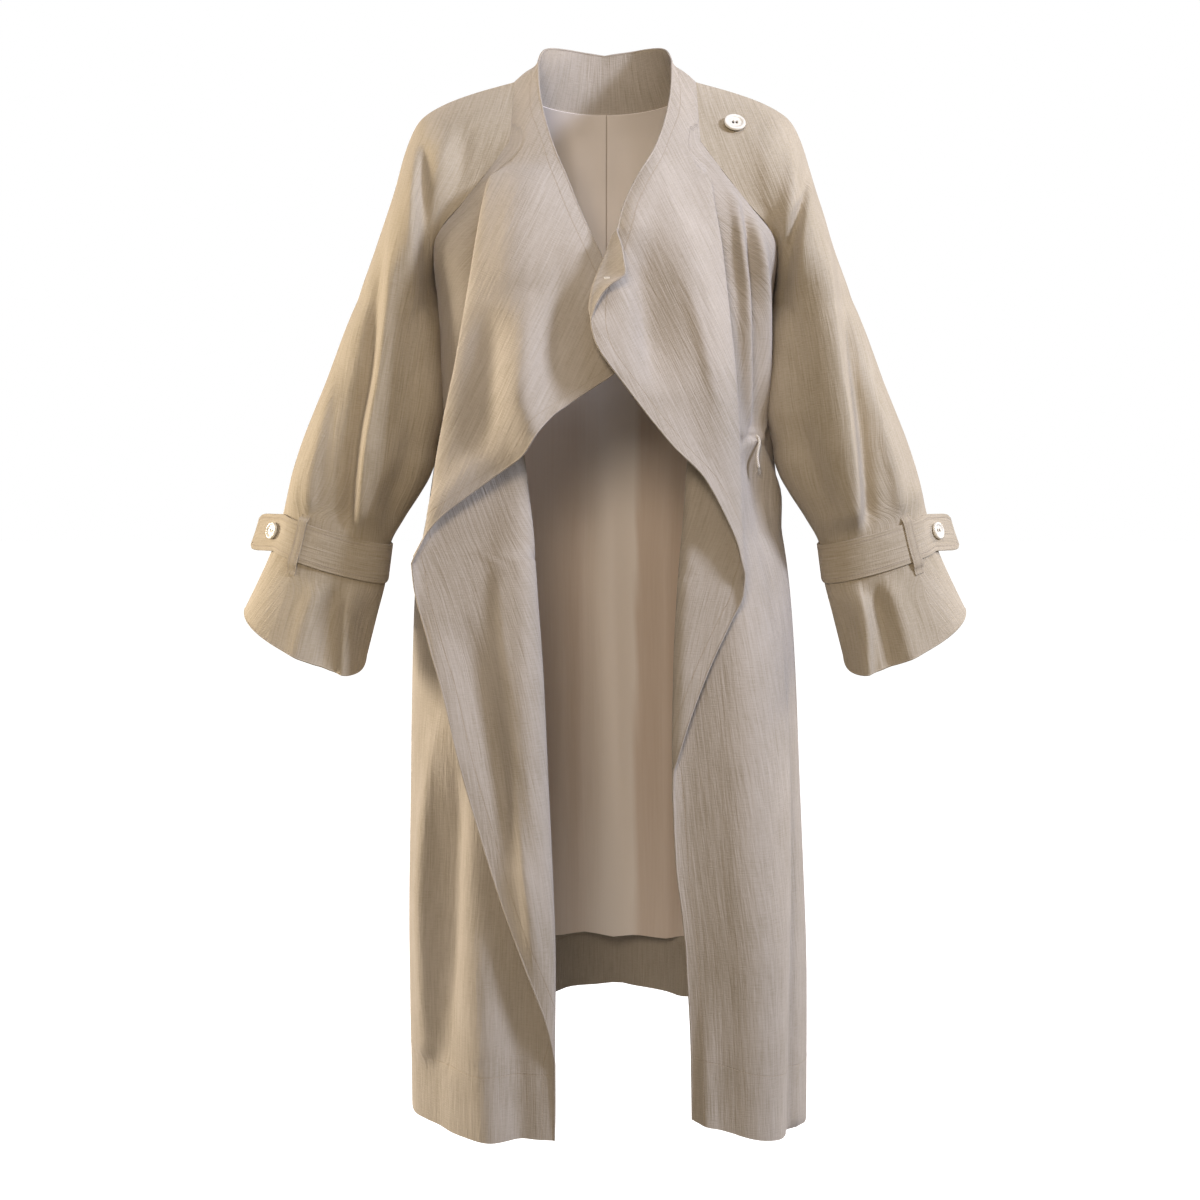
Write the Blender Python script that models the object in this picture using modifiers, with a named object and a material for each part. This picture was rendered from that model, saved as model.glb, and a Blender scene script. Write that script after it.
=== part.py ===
"""Open long coat with a drawn waist: wide falling fronts, raglan sleeves, strapped cuffs.

The coat hangs filled out as on a wearer, hollow, open at the neck, front, hem and cuffs.
Row frame: +Z up, the front faces -Y, the origin lies between the shoulder ends of the neck.
Tables are in millimetres, and x in them is the distance out from the centre line.
"""
import math

import bpy
import numpy as np

MM = 0.001

# Cloth and seams
WALL = 1.3
SEAM_GAP = 0.3
CORNER_GAP = 1.1
NECK_GAP = 1.6
LINING_WALL = 1.0
LINING_CLEAR = 2.4

# Grid of the panels
FRONT_COLUMNS = 26
BACK_COLUMNS = 20
SLEEVE_COLUMNS = 8
COLLAR_ROWS = 16
COLLAR_COLUMNS = 4
FOLD_WEIGHT = 60.0
NECK_ROWS = 3
LINING_COLUMNS = 12

# Heights of the rows that neighbouring panels share, so that their seams meet
RAGLAN_FRONT_Z = (-65, -85, -108, -132, -155, -180, -210, -240)
RAGLAN_BACK_Z = (-8, -38, -70, -104, -138, -172, -206, -240)
SIDE_Z = (-262, -288, -320, -352, -384, -414, -436, -460, -485, -506, -528, -565,
          -620, -680, -730, -795, -870, -950, -1010, -1055, -1100, -1146)

# Neck: the seam runs round it, and the collar stands on the seam
NECK_HALF_WIDTH = 99
NECK_BACK_Y = 80
NECK_SIDE_Y = -5
NECK_BACK_Z = -20
NECK_SIDE_Z = 5
BACK_SHARE_OF_NECK = 0.6
COLLAR_HALF_WIDTH = 73
COLLAR_BACK_Y = 77
COLLAR_SIDE_Y = 6
COLLAR_BACK_Z = 45
COLLAR_SIDE_Z = 41
COLLAR_ROLL = 3

# Edge of the front between the collar's side and the first row with a raglan seam
NECK_EDGE = {"part": (0.0, 0.35, 0.7, 1.0),
             "x": (73, 72, 67, 58),
             "y": (6, -24, -58, -90),
             "z": (41, 6, -30, -65)}

# Raglan seams, front and back, by height
RAGLAN_FRONT = {"z": (-240, -205, -172, -132, -97, -65),
                "x": (180, 185, 182, 152, 124, 101),
                "y": (8, -38, -70, -84, -80, -70)}
RAGLAN_BACK = {"z": (-240, -180, -140, -97, -50, -8),
               "x": (180, 184, 166, 138, 108, 80),
               "y": (8, 58, 80, 86, 72, 45)}

# Side seams by height, wearer's right and left
SIDE_RIGHT = {"z": (-1146, -958, -800, -664, -542, -500, -450, -376, -300, -240),
              "x": (224, 224, 221, 218, 213, 206, 197, 188, 186, 180),
              "y": (10, 8, 6, 5, 4, 5, 6, 8, 8, 8)}
SIDE_LEFT = {"z": (-1146, -983, -847, -752, -659, -603, -526, -461, -407, -376, -300, -240),
             "x": (233, 231, 224, 218, 213, 209, 202, 195, 190, 188, 186, 180),
             "y": (10, 8, 6, 6, 5, 5, 5, 6, 8, 8, 8, 8)}

# Body layer of both fronts by height: how square it turns, and how far forward it comes
BODY = {"z": (-1146, -946, -817, -625, -505, -475, -372, -300, -246, -200, -162, -132, -105, -85, -65),
        "square": (3.6, 3.3, 3.0, 2.7, 2.4, 2.2, 1.9, 1.9, 1.8, 1.4, 1.25, 1.2, 1.2, 1.2, 1.2),
        "y": (-150, -149, -144, -134, -126, -122, -116, -120, -120, -116, -110, -102, -90, -80, -72)}

# Folds of each front by height: inner fold, outer fold and the radius they turn on
FOLDS_RIGHT = {"z": (-1146, -1060, -946, -817, -733, -625, -505, -475, -393, -372, -300, -246,
                     -200, -162, -132, -105, -85, -65),
               "inner": (54, 55, 54, 58, 62, 67, 77, 79, 86, 92, 101, 100, 102, 108, 113, 115, 110, 101),
               "outer": (212, 212, 211, 210, 209, 207, 203, 189, 176, 172, 157, 146, 138, 132, 127,
                         121, 106, 96),
               "radius": (2, 4, 7, 8, 8, 8, 8, 8, 8, 8, 8, 7, 6, 5, 4, 3, 1, 0)}
FOLDS_LEFT = {"z": (-1146, -1050, -971, -892, -830, -769, -703, -620, -517, -473, -415, -388, -294,
                    -246, -182, -132, -101, -85, -65),
              "inner": (93, 91, 87, 81, 75, 73, 72, 73, 78, 82, 86, 88, 95, 97, 99, 103, 105, 106, 101),
              "outer": (170, 168, 166, 162, 158, 155, 152, 149, 147, 144, 142, 141, 134, 128, 121,
                        113, 109, 102, 96),
              "radius": (2, 2, 2, 3, 4, 5, 7, 8, 8, 8, 8, 8, 8, 7, 6, 4, 3, 1, 0)}

# Line where each top layer would end, and its forward roll
TOP_RIGHT = {"z": (-1146, -505, -372, -286, -246, -197, -140, -105, -65),
             "x": (-41, -41, -41, -41, -23, 0, 27, 41, 58),
             "y": (-170, -170, -175, -170, -164, -152, -130, -112, -90),
             "roll": (6, 6, 22, 20, 16, 12, 8, 4, 0)}
TOP_LEFT = {"z": (-1146, -517, -473, -372, -300, -254, -200, -162, -146, -106, -65),
            "x": (-23, -23, -23, -23, -23, -23, -2, 13, 17, 36, 58),
            "y": (-165, -165, -180, -198, -196, -190, -176, -160, -150, -118, -90),
            "roll": (4, 6, 12, 16, 14, 12, 10, 8, 6, 4, 0)}

# Free edge of each front below the lapel corner: out over the top layer to the outer fold,
# then back along the reverse layer to the inner fold
EDGE_RIGHT = {"top_z": (-505, -477, -454, -435, -410, -389, -350, -324, -307, -288),
              "top_x": (203, 187, 168, 144, 110, 82, 54, 17, -10, -41),
              "under_z": (-1051, -1014, -949, -870, -795, -714, -637, -584, -532, -506),
              "under_x": (55, 62, 83, 111, 134, 156, 173, 188, 201, 203),
              "flat_z": -1146}
EDGE_LEFT = {"top_z": (-517, -476, -452, -414, -382, -355, -306, -289, -270, -254),
             "top_x": (147, 134, 122, 99, 69, 48, 10, -4, -19, -23),
             "under_z": (-730, -672, -613, -567, -540, -518),
             "under_x": (73, 90, 112, 133, 145, 147),
             "flat_z": -950}

# Soft flutes in the body layer below the waist, by height
FLUTES_RIGHT = {"z": (-1146, -800, -520, -384, -300), "depth": (7, 6, 3, 4, 0)}
FLUTES_LEFT = {"z": (-1146, -800, -600, -384, -300), "depth": (10, 9, 6, 5, 0)}
FLUTES_BACK = {"z": (-1146, -800, -520, -384, -300, -240), "depth": (11, 8, 4, 4, 1, 0)}
FLUTES_PER_FRONT = 1.6
FLUTES_ACROSS_BACK = 5
HEM_RISE_LEFT = 26
HEM_DROP_LEFT = 16
HEM_RISE_BACK = 30
HEM_RISE_STARTS = -860

# Back panel by height
BACK = {"z": (-1146, -1020, -900, -750, -600, -526, -450, -376, -260, -200, -130, -60, -8),
        "y": (246, 222, 200, 172, 145, 130, 116, 106, 120, 120, 114, 97, 80),
        "square": (2.8, 2.8, 2.7, 2.6, 2.4, 2.3, 2.2, 2.2, 2.2, 2.2, 2.1, 2.0, 2.0)}
LINING_BOTTOM_Z = -1052

# Sleeve: ridge of the shoulder for each raglan row, and how far the cloth stands out there
SHOULDER = {"x": (99, 142, 178, 203, 218, 231, 250, 270),
            "y": (-5, 0, 2, 1, 0, 0, -1, -2),
            "z": (5, -6, -19, -36, -66, -110, -165, -222),
            "front": (0, 8, 16, 26, 38, 52, 68, 80),
            "back": (0, 8, 16, 24, 34, 46, 58, 68),
            "lift": (0.9, 0.9, 0.8, 0.6, 0.4, 0.25, 0.1, 0.0),
            "ease": (0, 0, 0.2, 0.5, 0.9, 1.4, 2.0, 2.4)}

# Sleeve below the underarm: outer and inner side, middle and half depths of each ring
ARM = {"step": (0, 1, 2, 3, 4, 5, 6, 7),
       "outer_x": (270, 288, 307, 330, 344, 354, 366, 398),
       "outer_z": (-222, -270, -322, -378, -420, -462, -500, -567),
       "inner_x": (182.5, 187, 185, 187, 204, 238, 243, 264),
       "inner_z": (-240, -292, -346, -402, -440, -497, -535, -586),
       "y": (-2, -24, -34, -42, -45, -48, -52, -58),
       "front": (80, 64, 60, 58, 54, 46, 46, 54),
       "back": (68, 62, 58, 56, 52, 44, 44, 48),
       "dip": (0, 0, 0, 0, 0, 0, 3, 50),
       "seam_turn": (180, 162, 140, 126, 120, 119, 120, 122)}
ARM_ROWS = 14
STRAP_TOP_STEP = 5.0
STRAP_STEPS = 1.0

# Cuff strap, its carrier loop and its buttons
STRAP_WALL = 1.8
STRAP_CLEAR = 0.8
STRAP_START = 192
STRAP_LEAVES = 518
STRAP_TAB = 46
STRAP_SEGMENTS = 26
TAB_DROP = -0.05
TAB_OUT = 0.08
LOOP_TURN = 121
LOOP_WIDTH = 9
LOOP_WALL = 1.2
STRAP_BUTTON_ALONG = 10
STRAP_BUTTON_DIAMETER = 19
SHOULDER_BUTTON_DIAMETER = 23.5
SHOULDER_BUTTON_X = 137
SHOULDER_BUTTON_Z = -46
SHOULDER_BUTTON_LIFT = 2.1
BUTTON_THICK = 4.0
BUTTON_SIDES = 20

# Drawstring end at the wearer's left of the waist
CORD_DIAMETER = 3.2
CORD_SIDES = 8
CORD_EXIT_PART = 0.46
CORD_DROP = {"down": (0, 2, 6, 11, 17, 23, 29, 34),
             "out": (0.4, 3.6, 5.6, 5.8, 5.0, 4.6, 4.8, 5.4),
             "along": (0, 0.5, 1.5, 3.0, 4.5, 5.5, 5.0, 4.0)}
CORD_Z = -376


def smooth(knots, values, at):
    """Cubic through the values that never overshoots them; knots rise."""
    knots, values = np.asarray(knots, float), np.asarray(values, float)
    at = np.clip(np.asarray(at, float), knots[0], knots[-1])
    step = np.diff(knots)
    slope = np.diff(values) / step
    tangent = np.zeros(len(knots))
    tangent[0], tangent[-1] = slope[0], slope[-1]
    same = slope[:-1] * slope[1:] > 0
    near, far = slope[:-1][same], slope[1:][same]
    tangent[1:-1][same] = 2 * near * far / (near + far)
    i = np.clip(np.searchsorted(knots, at, side="right") - 1, 0, len(step) - 1)
    u = (at - knots[i]) / step[i]
    return ((1 + 2 * u) * (1 - u) ** 2 * values[i] + u * (1 - u) ** 2 * step[i] * tangent[i]
            + u * u * (3 - 2 * u) * values[i + 1] + u * u * (u - 1) * step[i] * tangent[i + 1])


def read(table, column, z, key="z"):
    """One column of a table at a height."""
    return smooth(table[key], table[column], z)


def spline(points, per_span=14):
    """Smooth curve through control points, spaced by the root of their distances."""
    p = np.asarray(points, float)
    p = np.vstack([2 * p[0] - p[1], p, 2 * p[-1] - p[-2]])
    t = np.concatenate([[0], np.cumsum(np.sqrt(np.linalg.norm(np.diff(p, axis=0), axis=1)) + 1e-6)])
    out = []
    for i in range(1, len(p) - 2):
        s = np.linspace(t[i], t[i + 1], per_span, endpoint=False)[:, None]
        a = [((t[i + j] - s) * p[i + j - 1] + (s - t[i + j - 1]) * p[i + j]) / (t[i + j] - t[i + j - 1])
             for j in (0, 1, 2)]
        b = [((t[i + 1] - s) * a[0] + (s - t[i - 1]) * a[1]) / (t[i + 1] - t[i - 1]),
             ((t[i + 2] - s) * a[1] + (s - t[i]) * a[2]) / (t[i + 2] - t[i])]
        out.append(((t[i + 1] - s) * b[0] + (s - t[i]) * b[1]) / (t[i + 1] - t[i]))
    out.append(p[-2:-1])
    return np.vstack(out)


def spread(curve, count, turn_weight, turns_end):
    """Points along a curve, closer together where it turns sharply, up to one place in it."""
    seg = np.diff(curve, axis=0)
    length = np.linalg.norm(seg, axis=1)
    unit = seg / np.maximum(length, 1e-9)[:, None]
    turn = np.zeros(len(length))
    turn[1:] = np.arccos(np.clip((unit[1:] * unit[:-1]).sum(1), -1, 1))
    turn[turns_end:] = 0
    far = np.concatenate([[0], np.cumsum(length + turn_weight * turn / math.pi)])
    at = np.linspace(0, far[-1], count)
    return np.column_stack([np.interp(at, far, curve[:, i]) for i in range(curve.shape[1])])


def side_point(z, left):
    """Where a front ends at its seam: raglan above the underarm, side seam below."""
    table = RAGLAN_FRONT if z > -240 else (SIDE_LEFT if left else SIDE_RIGHT)
    return np.array([read(table, "x", z), read(table, "y", z)])


def front_layers(z, left):
    """Plan curve of a front: body layer, inner fold, reverse layer, outer fold, top layer.

    Returns its points and the places in them of the two folds and the top layer's end.
    """
    folds, top = (FOLDS_LEFT, TOP_LEFT) if left else (FOLDS_RIGHT, TOP_RIGHT)
    flutes = FLUTES_LEFT if left else FLUTES_RIGHT
    seam = side_point(z, left)
    inner, outer, r = (read(folds, c, z) for c in ("inner", "outer", "radius"))
    square, body_y = read(BODY, "square", z), read(BODY, "y", z)
    r = float(np.clip(r, 0, max(0.0, (outer - inner) / 2)))
    inner_tip = np.array([inner, body_y - r])
    outer_tip = inner_tip + [outer - inner, -2 * r - (3 if r > 1 else 0)]
    body_end = np.array([inner + r, body_y])
    points = [seam]
    depth = float(read(flutes, "depth", z))
    for part in np.linspace(0, 1, 9)[1:-1]:
        turn = part * math.pi / 2
        x = body_end[0] + (seam[0] - body_end[0]) * math.cos(turn) ** (2 / square)
        y = seam[1] + (body_end[1] - seam[1]) * math.sin(turn) ** (2 / square)
        wave = math.sin(2 * math.pi * FLUTES_PER_FRONT * part) * math.sin(math.pi * part)
        points.append(np.array([x + 0.4 * depth * wave, y - depth * wave]))
    places = []
    if r > 1.2:
        points.append(body_end)
        places.append(len(points))
        points += [inner_tip, inner_tip + [r, -r]]
        points += [inner_tip + [r, -r] + (outer_tip - inner_tip - [2 * r, -2 * r]) * s for s in (0.35, 0.7)]
        points.append(outer_tip + [-r, r])
        places.append(len(points))
        points += [outer_tip, outer_tip + [-r, -r]]
    else:
        places += [len(points), len(points) + 1]
        points += [np.array([inner, body_y]), np.array([outer, body_y - 4 * r - 1.5])]
    start = points[-1]
    end = np.array([read(top, "x", z), read(top, "y", z)])
    roll = float(read(top, "roll", z))
    for part in (0.2, 0.4, 0.6, 0.8):
        points.append(start + (end - start) * part - [0, roll * math.sin(math.pi * part ** 1.3)])
    places.append(len(points))
    points.append(end)
    return points, places


def front_row(z, left):
    """One level row of a front, cut off at its free edge."""
    points, (inner_at, outer_at, end_at) = front_layers(z, left)
    per_span = 14
    curve = spline(points, per_span)
    edge = EDGE_LEFT if left else EDGE_RIGHT
    inner_i, outer_i = inner_at * per_span, outer_at * per_span
    top_z, merge_z = edge["top_z"][-1], edge["under_z"][0]
    if z < merge_z:
        opened = min(1.0, (merge_z - z) / (edge["under_z"][0] - edge["flat_z"]))
        curve = curve[:inner_i + per_span - int(2 * per_span * opened) + 1]
    elif z < edge["under_z"][-1]:
        x = read(edge, "under_x", z, "under_z")
        part = curve[inner_i:outer_i + 1]
        last = inner_i + int(np.argmax(part[:, 0] >= x)) if part[-1, 0] >= x else outer_i
        curve = curve[:max(last, inner_i + 2) + 1]
    elif z < top_z:
        x = read(edge, "top_x", z, "top_z")
        part = curve[outer_i:, 0]
        past = np.nonzero(part <= x)[0]
        curve = curve[:outer_i + (int(past[0]) if len(past) else len(part) - 1) + 1]
    row = spread(curve, FRONT_COLUMNS + 1, FOLD_WEIGHT, outer_i + 3 * per_span)
    low = np.clip((HEM_RISE_STARTS - z) / (HEM_RISE_STARTS - SIDE_Z[-1]), 0, 1)
    part = np.linspace(0, 1, FRONT_COLUMNS + 1)
    heights = np.full(FRONT_COLUMNS + 1, float(z))
    if left:
        heights += low * (HEM_RISE_LEFT * part ** 1.5 - HEM_DROP_LEFT * np.sin(math.pi * part ** 0.6))
    return np.column_stack([row, heights])


def neck_seam(part):
    """Neck seam from the centre back, part 0, to the shoulder end, part 1."""
    turn = np.asarray(part) * math.pi / 2
    return np.stack([NECK_HALF_WIDTH * np.sin(turn),
                     NECK_SIDE_Y + (NECK_BACK_Y - NECK_SIDE_Y) * np.cos(turn),
                     NECK_SIDE_Z + (NECK_BACK_Z - NECK_SIDE_Z) * np.cos(turn)], -1)


def collar_edge(part):
    """Top edge of the standing collar, along the same turn as the neck seam."""
    turn = np.asarray(part) * math.pi / 2
    return np.stack([COLLAR_HALF_WIDTH * np.sin(turn),
                     COLLAR_SIDE_Y + (COLLAR_BACK_Y - COLLAR_SIDE_Y) * np.cos(turn),
                     COLLAR_SIDE_Z + (COLLAR_BACK_Z - COLLAR_SIDE_Z) * np.cos(turn)
                     + 3 * np.sin(2 * turn)], -1)


def collar_row(part, columns):
    """Line up the collar from the neck seam to its top edge, with a soft roll outwards."""
    across = np.linspace(0, 1, columns + 1)[:, None]
    seam, edge = neck_seam(abs(part)), collar_edge(abs(part))
    turn = abs(part) * math.pi / 2
    out = np.array([math.sin(turn), math.cos(turn), 0])
    row = seam + (edge - seam) * across - out * COLLAR_ROLL * np.sin(math.pi * across)
    return row * [math.copysign(1, part), 1, 1]


def collar_panel():
    """Grid of the standing collar round the back of the neck, right shoulder to left."""
    grid = np.array([collar_row(part, COLLAR_COLUMNS) for part in np.linspace(-1, 1, COLLAR_ROWS + 1)])
    grid = pull_in(grid, 1, 0, CORNER_GAP / 2).transpose(1, 0, 2)
    for side in (1, -1):
        grid = pull_in(grid, side, 0, CORNER_GAP / 2)
    return grid.transpose(1, 0, 2)


def front_panel(left):
    """Grid of a front: from the side of the neck, then down to the hem."""
    across = np.linspace(0, 1, FRONT_COLUMNS + 1)[:, None]
    rows = [collar_row(1.0, FRONT_COLUMNS)]
    top, bottom = neck_seam(1.0), np.array([*side_point(-65, left), -65])
    for part in np.linspace(0, 1, NECK_ROWS + 1)[1:]:
        seam = top + (bottom - top) * part
        edge = np.array([smooth(NECK_EDGE["part"], NECK_EDGE[c], part) for c in "xyz"])
        rows.append(seam + (edge - seam) * across - [0, 4 * part, 0] * np.sin(math.pi * across))
    rows += [front_row(z, left) for z in RAGLAN_FRONT_Z[1:] + SIDE_Z]
    grid = pull_in(np.array(rows), side=1, start=0, gap=CORNER_GAP / 2)
    return pull_in(grid.transpose(1, 0, 2), 1, 0, CORNER_GAP / 2).transpose(1, 0, 2)


def pull_in(grid, side, start, gap):
    """Draw one edge of a grid back along its rows, to leave the seam's gap."""
    grid = grid.copy()
    edge, inside = (0, 1) if side > 0 else (-1, -2)
    way = grid[start:, inside] - grid[start:, edge]
    size = np.linalg.norm(way, axis=1, keepdims=True)
    grid[start:, edge] += way / np.maximum(size, 1e-9) * np.minimum(gap, 0.45 * size)
    return grid


def mirrored(grid, left):
    """Tables count x outwards, so the wearer's right side turns negative."""
    return grid if left else grid * [-1, 1, 1]


def back_panel(fluted=True):
    """Grid of the back from the wearer's right to left: neck, raglan seams, side seams, hem."""
    across = np.linspace(-1, 1, BACK_COLUMNS + 1)
    rows = []
    for number, z in enumerate(RAGLAN_BACK_Z + SIDE_Z):
        if z >= -240:
            right = left = np.array([read(RAGLAN_BACK, "x", z), read(RAGLAN_BACK, "y", z)])
        else:
            right, left = side_point(z, False), side_point(z, True)
        share = np.abs(across)
        ends = np.where((across < 0)[:, None], right, left)
        square = read(BACK, "square", z)
        turn = across * math.pi / 2
        x = np.sign(turn) * ends[:, 0] * np.abs(np.sin(turn)) ** (2 / square)
        rise = np.cos(turn) ** (2 / square)
        if z >= -240:
            flat = 1 - 0.5 * (number / (len(RAGLAN_BACK_Z) - 1)) ** 3
            x, rise = ends[:, 0] * np.sin(turn), np.cos(turn) ** (2 * flat)
        depth = read(FLUTES_BACK, "depth", z) if fluted else 0
        wave = np.cos(2 * math.pi * FLUTES_ACROSS_BACK * across / 2) * np.cos(turn) ** 0.7
        y = ends[:, 1] + (read(BACK, "y", z) - ends[:, 1]) * rise + depth * wave
        low = np.clip((HEM_RISE_STARTS - z) / (HEM_RISE_STARTS - SIDE_Z[-1]), 0, 1)
        heights = z + HEM_RISE_BACK * low * (1 - share ** 2)
        row = np.column_stack([x, y, heights])
        near_neck = max(0.0, 1 - number / 4)
        neck = neck_seam(share * BACK_SHARE_OF_NECK)
        neck[:, 0] *= np.sign(across)
        widen = np.abs(row[0, 0]) / np.abs(neck[0, 0])
        neck_row = np.column_stack([neck[:, 0] * widen, neck[:, 1] + (row[0, 1] - neck[0, 1]) * share,
                                    neck[:, 2] + (row[0, 2] - neck[0, 2])])
        neck_row[:, 1] += (read(BACK, "y", z) - NECK_BACK_Y) * (1 - share ** 2)
        rows.append(row * (1 - near_neck) + neck_row * near_neck)
    grid = np.array(rows)
    for side in (1, -1):
        grid = pull_in(grid, side, 0, CORNER_GAP / 2)
    return pull_in(grid.transpose(1, 0, 2), 1, 0, NECK_GAP).transpose(1, 0, 2)


def arm_ring(step, turns):
    """Ring of the sleeve below the underarm: 0 inner, 90 front, 180 outer, 270 back."""
    c = {name: smooth(ARM["step"], ARM[name], step) for name in ARM if name != "step"}
    turn = np.radians(turns)
    outer = np.array([c["outer_x"], c["y"], c["outer_z"]])
    inner = np.array([c["inner_x"], c["y"], c["inner_z"]])
    depth = np.where(np.sin(turn) > 0, c["front"], c["back"])
    ring = (outer + inner) / 2 - np.outer(np.cos(turn), (outer - inner) / 2)
    ring[:, 1] -= depth * np.sin(turn)
    lean = np.clip((np.asarray(turns, float) % 360) / 180, 0, 1)
    ring[:, 2] -= c["dip"] * np.sin(math.pi * lean ** 0.45)
    return ring


def sleeve_half(front):
    """Grid of half a sleeve from its raglan and underarm seam to the seam along the arm."""
    part = (1 - np.cos(np.linspace(0, math.pi, SLEEVE_COLUMNS + 1))[:, None]) / 2
    seams = RAGLAN_FRONT_Z if front else RAGLAN_BACK_Z
    table = RAGLAN_FRONT if front else RAGLAN_BACK
    rows = []
    for k, z in enumerate(seams[:-1]):
        low = np.array([read(table, "x", z) + SHOULDER["ease"][k], read(table, "y", z), z])
        ridge = np.array([SHOULDER[c][k] for c in "xyz"], float)
        way = np.array([0, -1 if front else 1, SHOULDER["lift"][k]])
        way *= SHOULDER["front" if front else "back"][k] / np.linalg.norm(way)
        flat = 1 - 0.5 * (k / (len(seams) - 1)) ** 3
        row = low + (ridge - low) * part + way * (4 * part * (1 - part)) ** flat
        if k == 0 and not front:
            row = neck_seam(np.linspace(BACK_SHARE_OF_NECK, 1, SLEEVE_COLUMNS + 1))
        rows.append(row)
    for step in np.linspace(0, ARM["step"][-1], ARM_ROWS + 1):
        seam = float(smooth(ARM["step"], ARM["seam_turn"], step))
        turns = np.linspace(0, seam, SLEEVE_COLUMNS + 1) if front else \
            np.linspace(360, seam, SLEEVE_COLUMNS + 1)
        rows.append(arm_ring(step, turns))
    grid = np.array(rows)
    grid = pull_in(grid, 1, 0, CORNER_GAP / 2)
    grid = pull_in(grid, -1, 0, CORNER_GAP / 2)
    return pull_in(grid.transpose(1, 0, 2), 1, 0, CORNER_GAP).transpose(1, 0, 2)


def normals(grid):
    """Unit normal at each point of a grid."""
    n = np.cross(np.gradient(grid, axis=0), np.gradient(grid, axis=1))
    return n / np.maximum(np.linalg.norm(n, axis=2, keepdims=True), 1e-9)


def lining_panel():
    """Grid inside the back: the back without its flutes, moved in clear of them."""
    grid = back_panel(False)
    inward = normals(grid)
    inward *= np.sign(-inward[:, BACK_COLUMNS // 2, 1])[:, None, None]
    depth = read(FLUTES_BACK, "depth", grid[:, :1, 2])[..., None]
    grid = (grid + inward * (LINING_CLEAR + 1.2 * depth))[1:, 1:-1]
    grid = grid[grid[:, :, 2].mean(1) > LINING_BOTTOM_Z]
    far = np.linspace(0, 1, grid.shape[1])
    at = np.linspace(0.0, 1.0, LINING_COLUMNS + 1)
    return np.stack([np.column_stack([np.interp(at, far, row[:, i]) for i in range(3)]) for row in grid])


def strap_frame(turns, step):
    """Points and outward ways on the sleeve under the cuff strap."""
    ring = arm_ring(step, turns)
    ahead = arm_ring(step, np.asarray(turns) + 0.5) - ring
    down = arm_ring(step + 0.02, turns) - ring
    out = np.cross(down, ahead)
    return ring, out / np.linalg.norm(out, axis=1, keepdims=True)


def strap_grid():
    """Cuff strap: round the sleeve, then straight off it as the free tab past the button."""
    turns = np.linspace(STRAP_START, STRAP_LEAVES, STRAP_SEGMENTS - 5)
    rise = WALL / 2 + STRAP_CLEAR + STRAP_WALL / 2
    lines = []
    for share in (0.0, 0.5, 1.0):
        ring, out = strap_frame(turns, STRAP_TOP_STEP + STRAP_STEPS * share)
        ring = ring + out * rise
        way = ring[-1] - ring[-2]
        way[2] = 0
        way = way / np.linalg.norm(way) + [TAB_OUT, -TAB_OUT, TAB_DROP]
        way /= np.linalg.norm(way)
        tab = [ring[-1] + way * STRAP_TAB * s for s in (0.2, 0.45, 0.7, 0.9, 1.0)]
        lines.append(np.vstack([ring, tab]))
    grid = np.stack(lines, axis=1)
    middle = grid[:, 1:2]
    for row, keep in ((-1, 0.72), (-2, 0.94)):
        grid[row] = middle[row] + (grid[row] - middle[row]) * keep
    return grid


def loop_grid():
    """Carrier loop: a narrow strip from the sleeve, over the strap, to the sleeve again."""
    low = WALL / 2 + 0.35 + LOOP_WALL / 2
    high = WALL / 2 + STRAP_CLEAR + STRAP_WALL + 0.4 + LOOP_WALL / 2
    rows = []
    for share, rise in ((-0.22, low), (-0.15, low + 0.2), (-0.09, high), (0.3, high + 0.2), (0.7, high + 0.2),
                        (1.09, high), (1.15, low + 0.2), (1.22, low)):
        wide = LOOP_WIDTH / 52 * 180 / math.pi / 2
        ring, out = strap_frame(np.array([LOOP_TURN - wide, LOOP_TURN, LOOP_TURN + wide]),
                                STRAP_TOP_STEP + STRAP_STEPS * share)
        rows.append(ring + out * rise)
    return np.array(rows)


def material(name, colour, roughness):
    made = bpy.data.materials.new(name)
    made.use_nodes = True
    shader = made.node_tree.nodes["Principled BSDF"]
    shader.inputs["Base Color"].default_value = (*colour, 1)
    shader.inputs["Roughness"].default_value = roughness
    return made


def mesh_object(name, points, faces, colour, roughness=0.9):
    """Named object of the coat from points in millimetres."""
    mesh = bpy.data.meshes.new(name)
    mesh.from_pydata((np.asarray(points) * MM).tolist(), [], faces)
    mesh.update()
    made = bpy.data.objects.new(name, mesh)
    made.data.materials.append(material(name, colour, roughness))
    COAT.objects.link(made)
    return made


def panel(name, grid, colour, wall=WALL):
    """Cloth panel: the grid's surface, given its wall by Solidify."""
    rows, columns = grid.shape[:2]
    faces = [(r * columns + c, r * columns + c + 1, (r + 1) * columns + c + 1, (r + 1) * columns + c)
             for r in range(rows - 1) for c in range(columns - 1)]
    made = mesh_object(name, grid.reshape(-1, 3), faces, colour)
    shell = made.modifiers.new("wall", "SOLIDIFY")
    shell.thickness, shell.offset = wall * MM, 0.0
    return made


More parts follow.
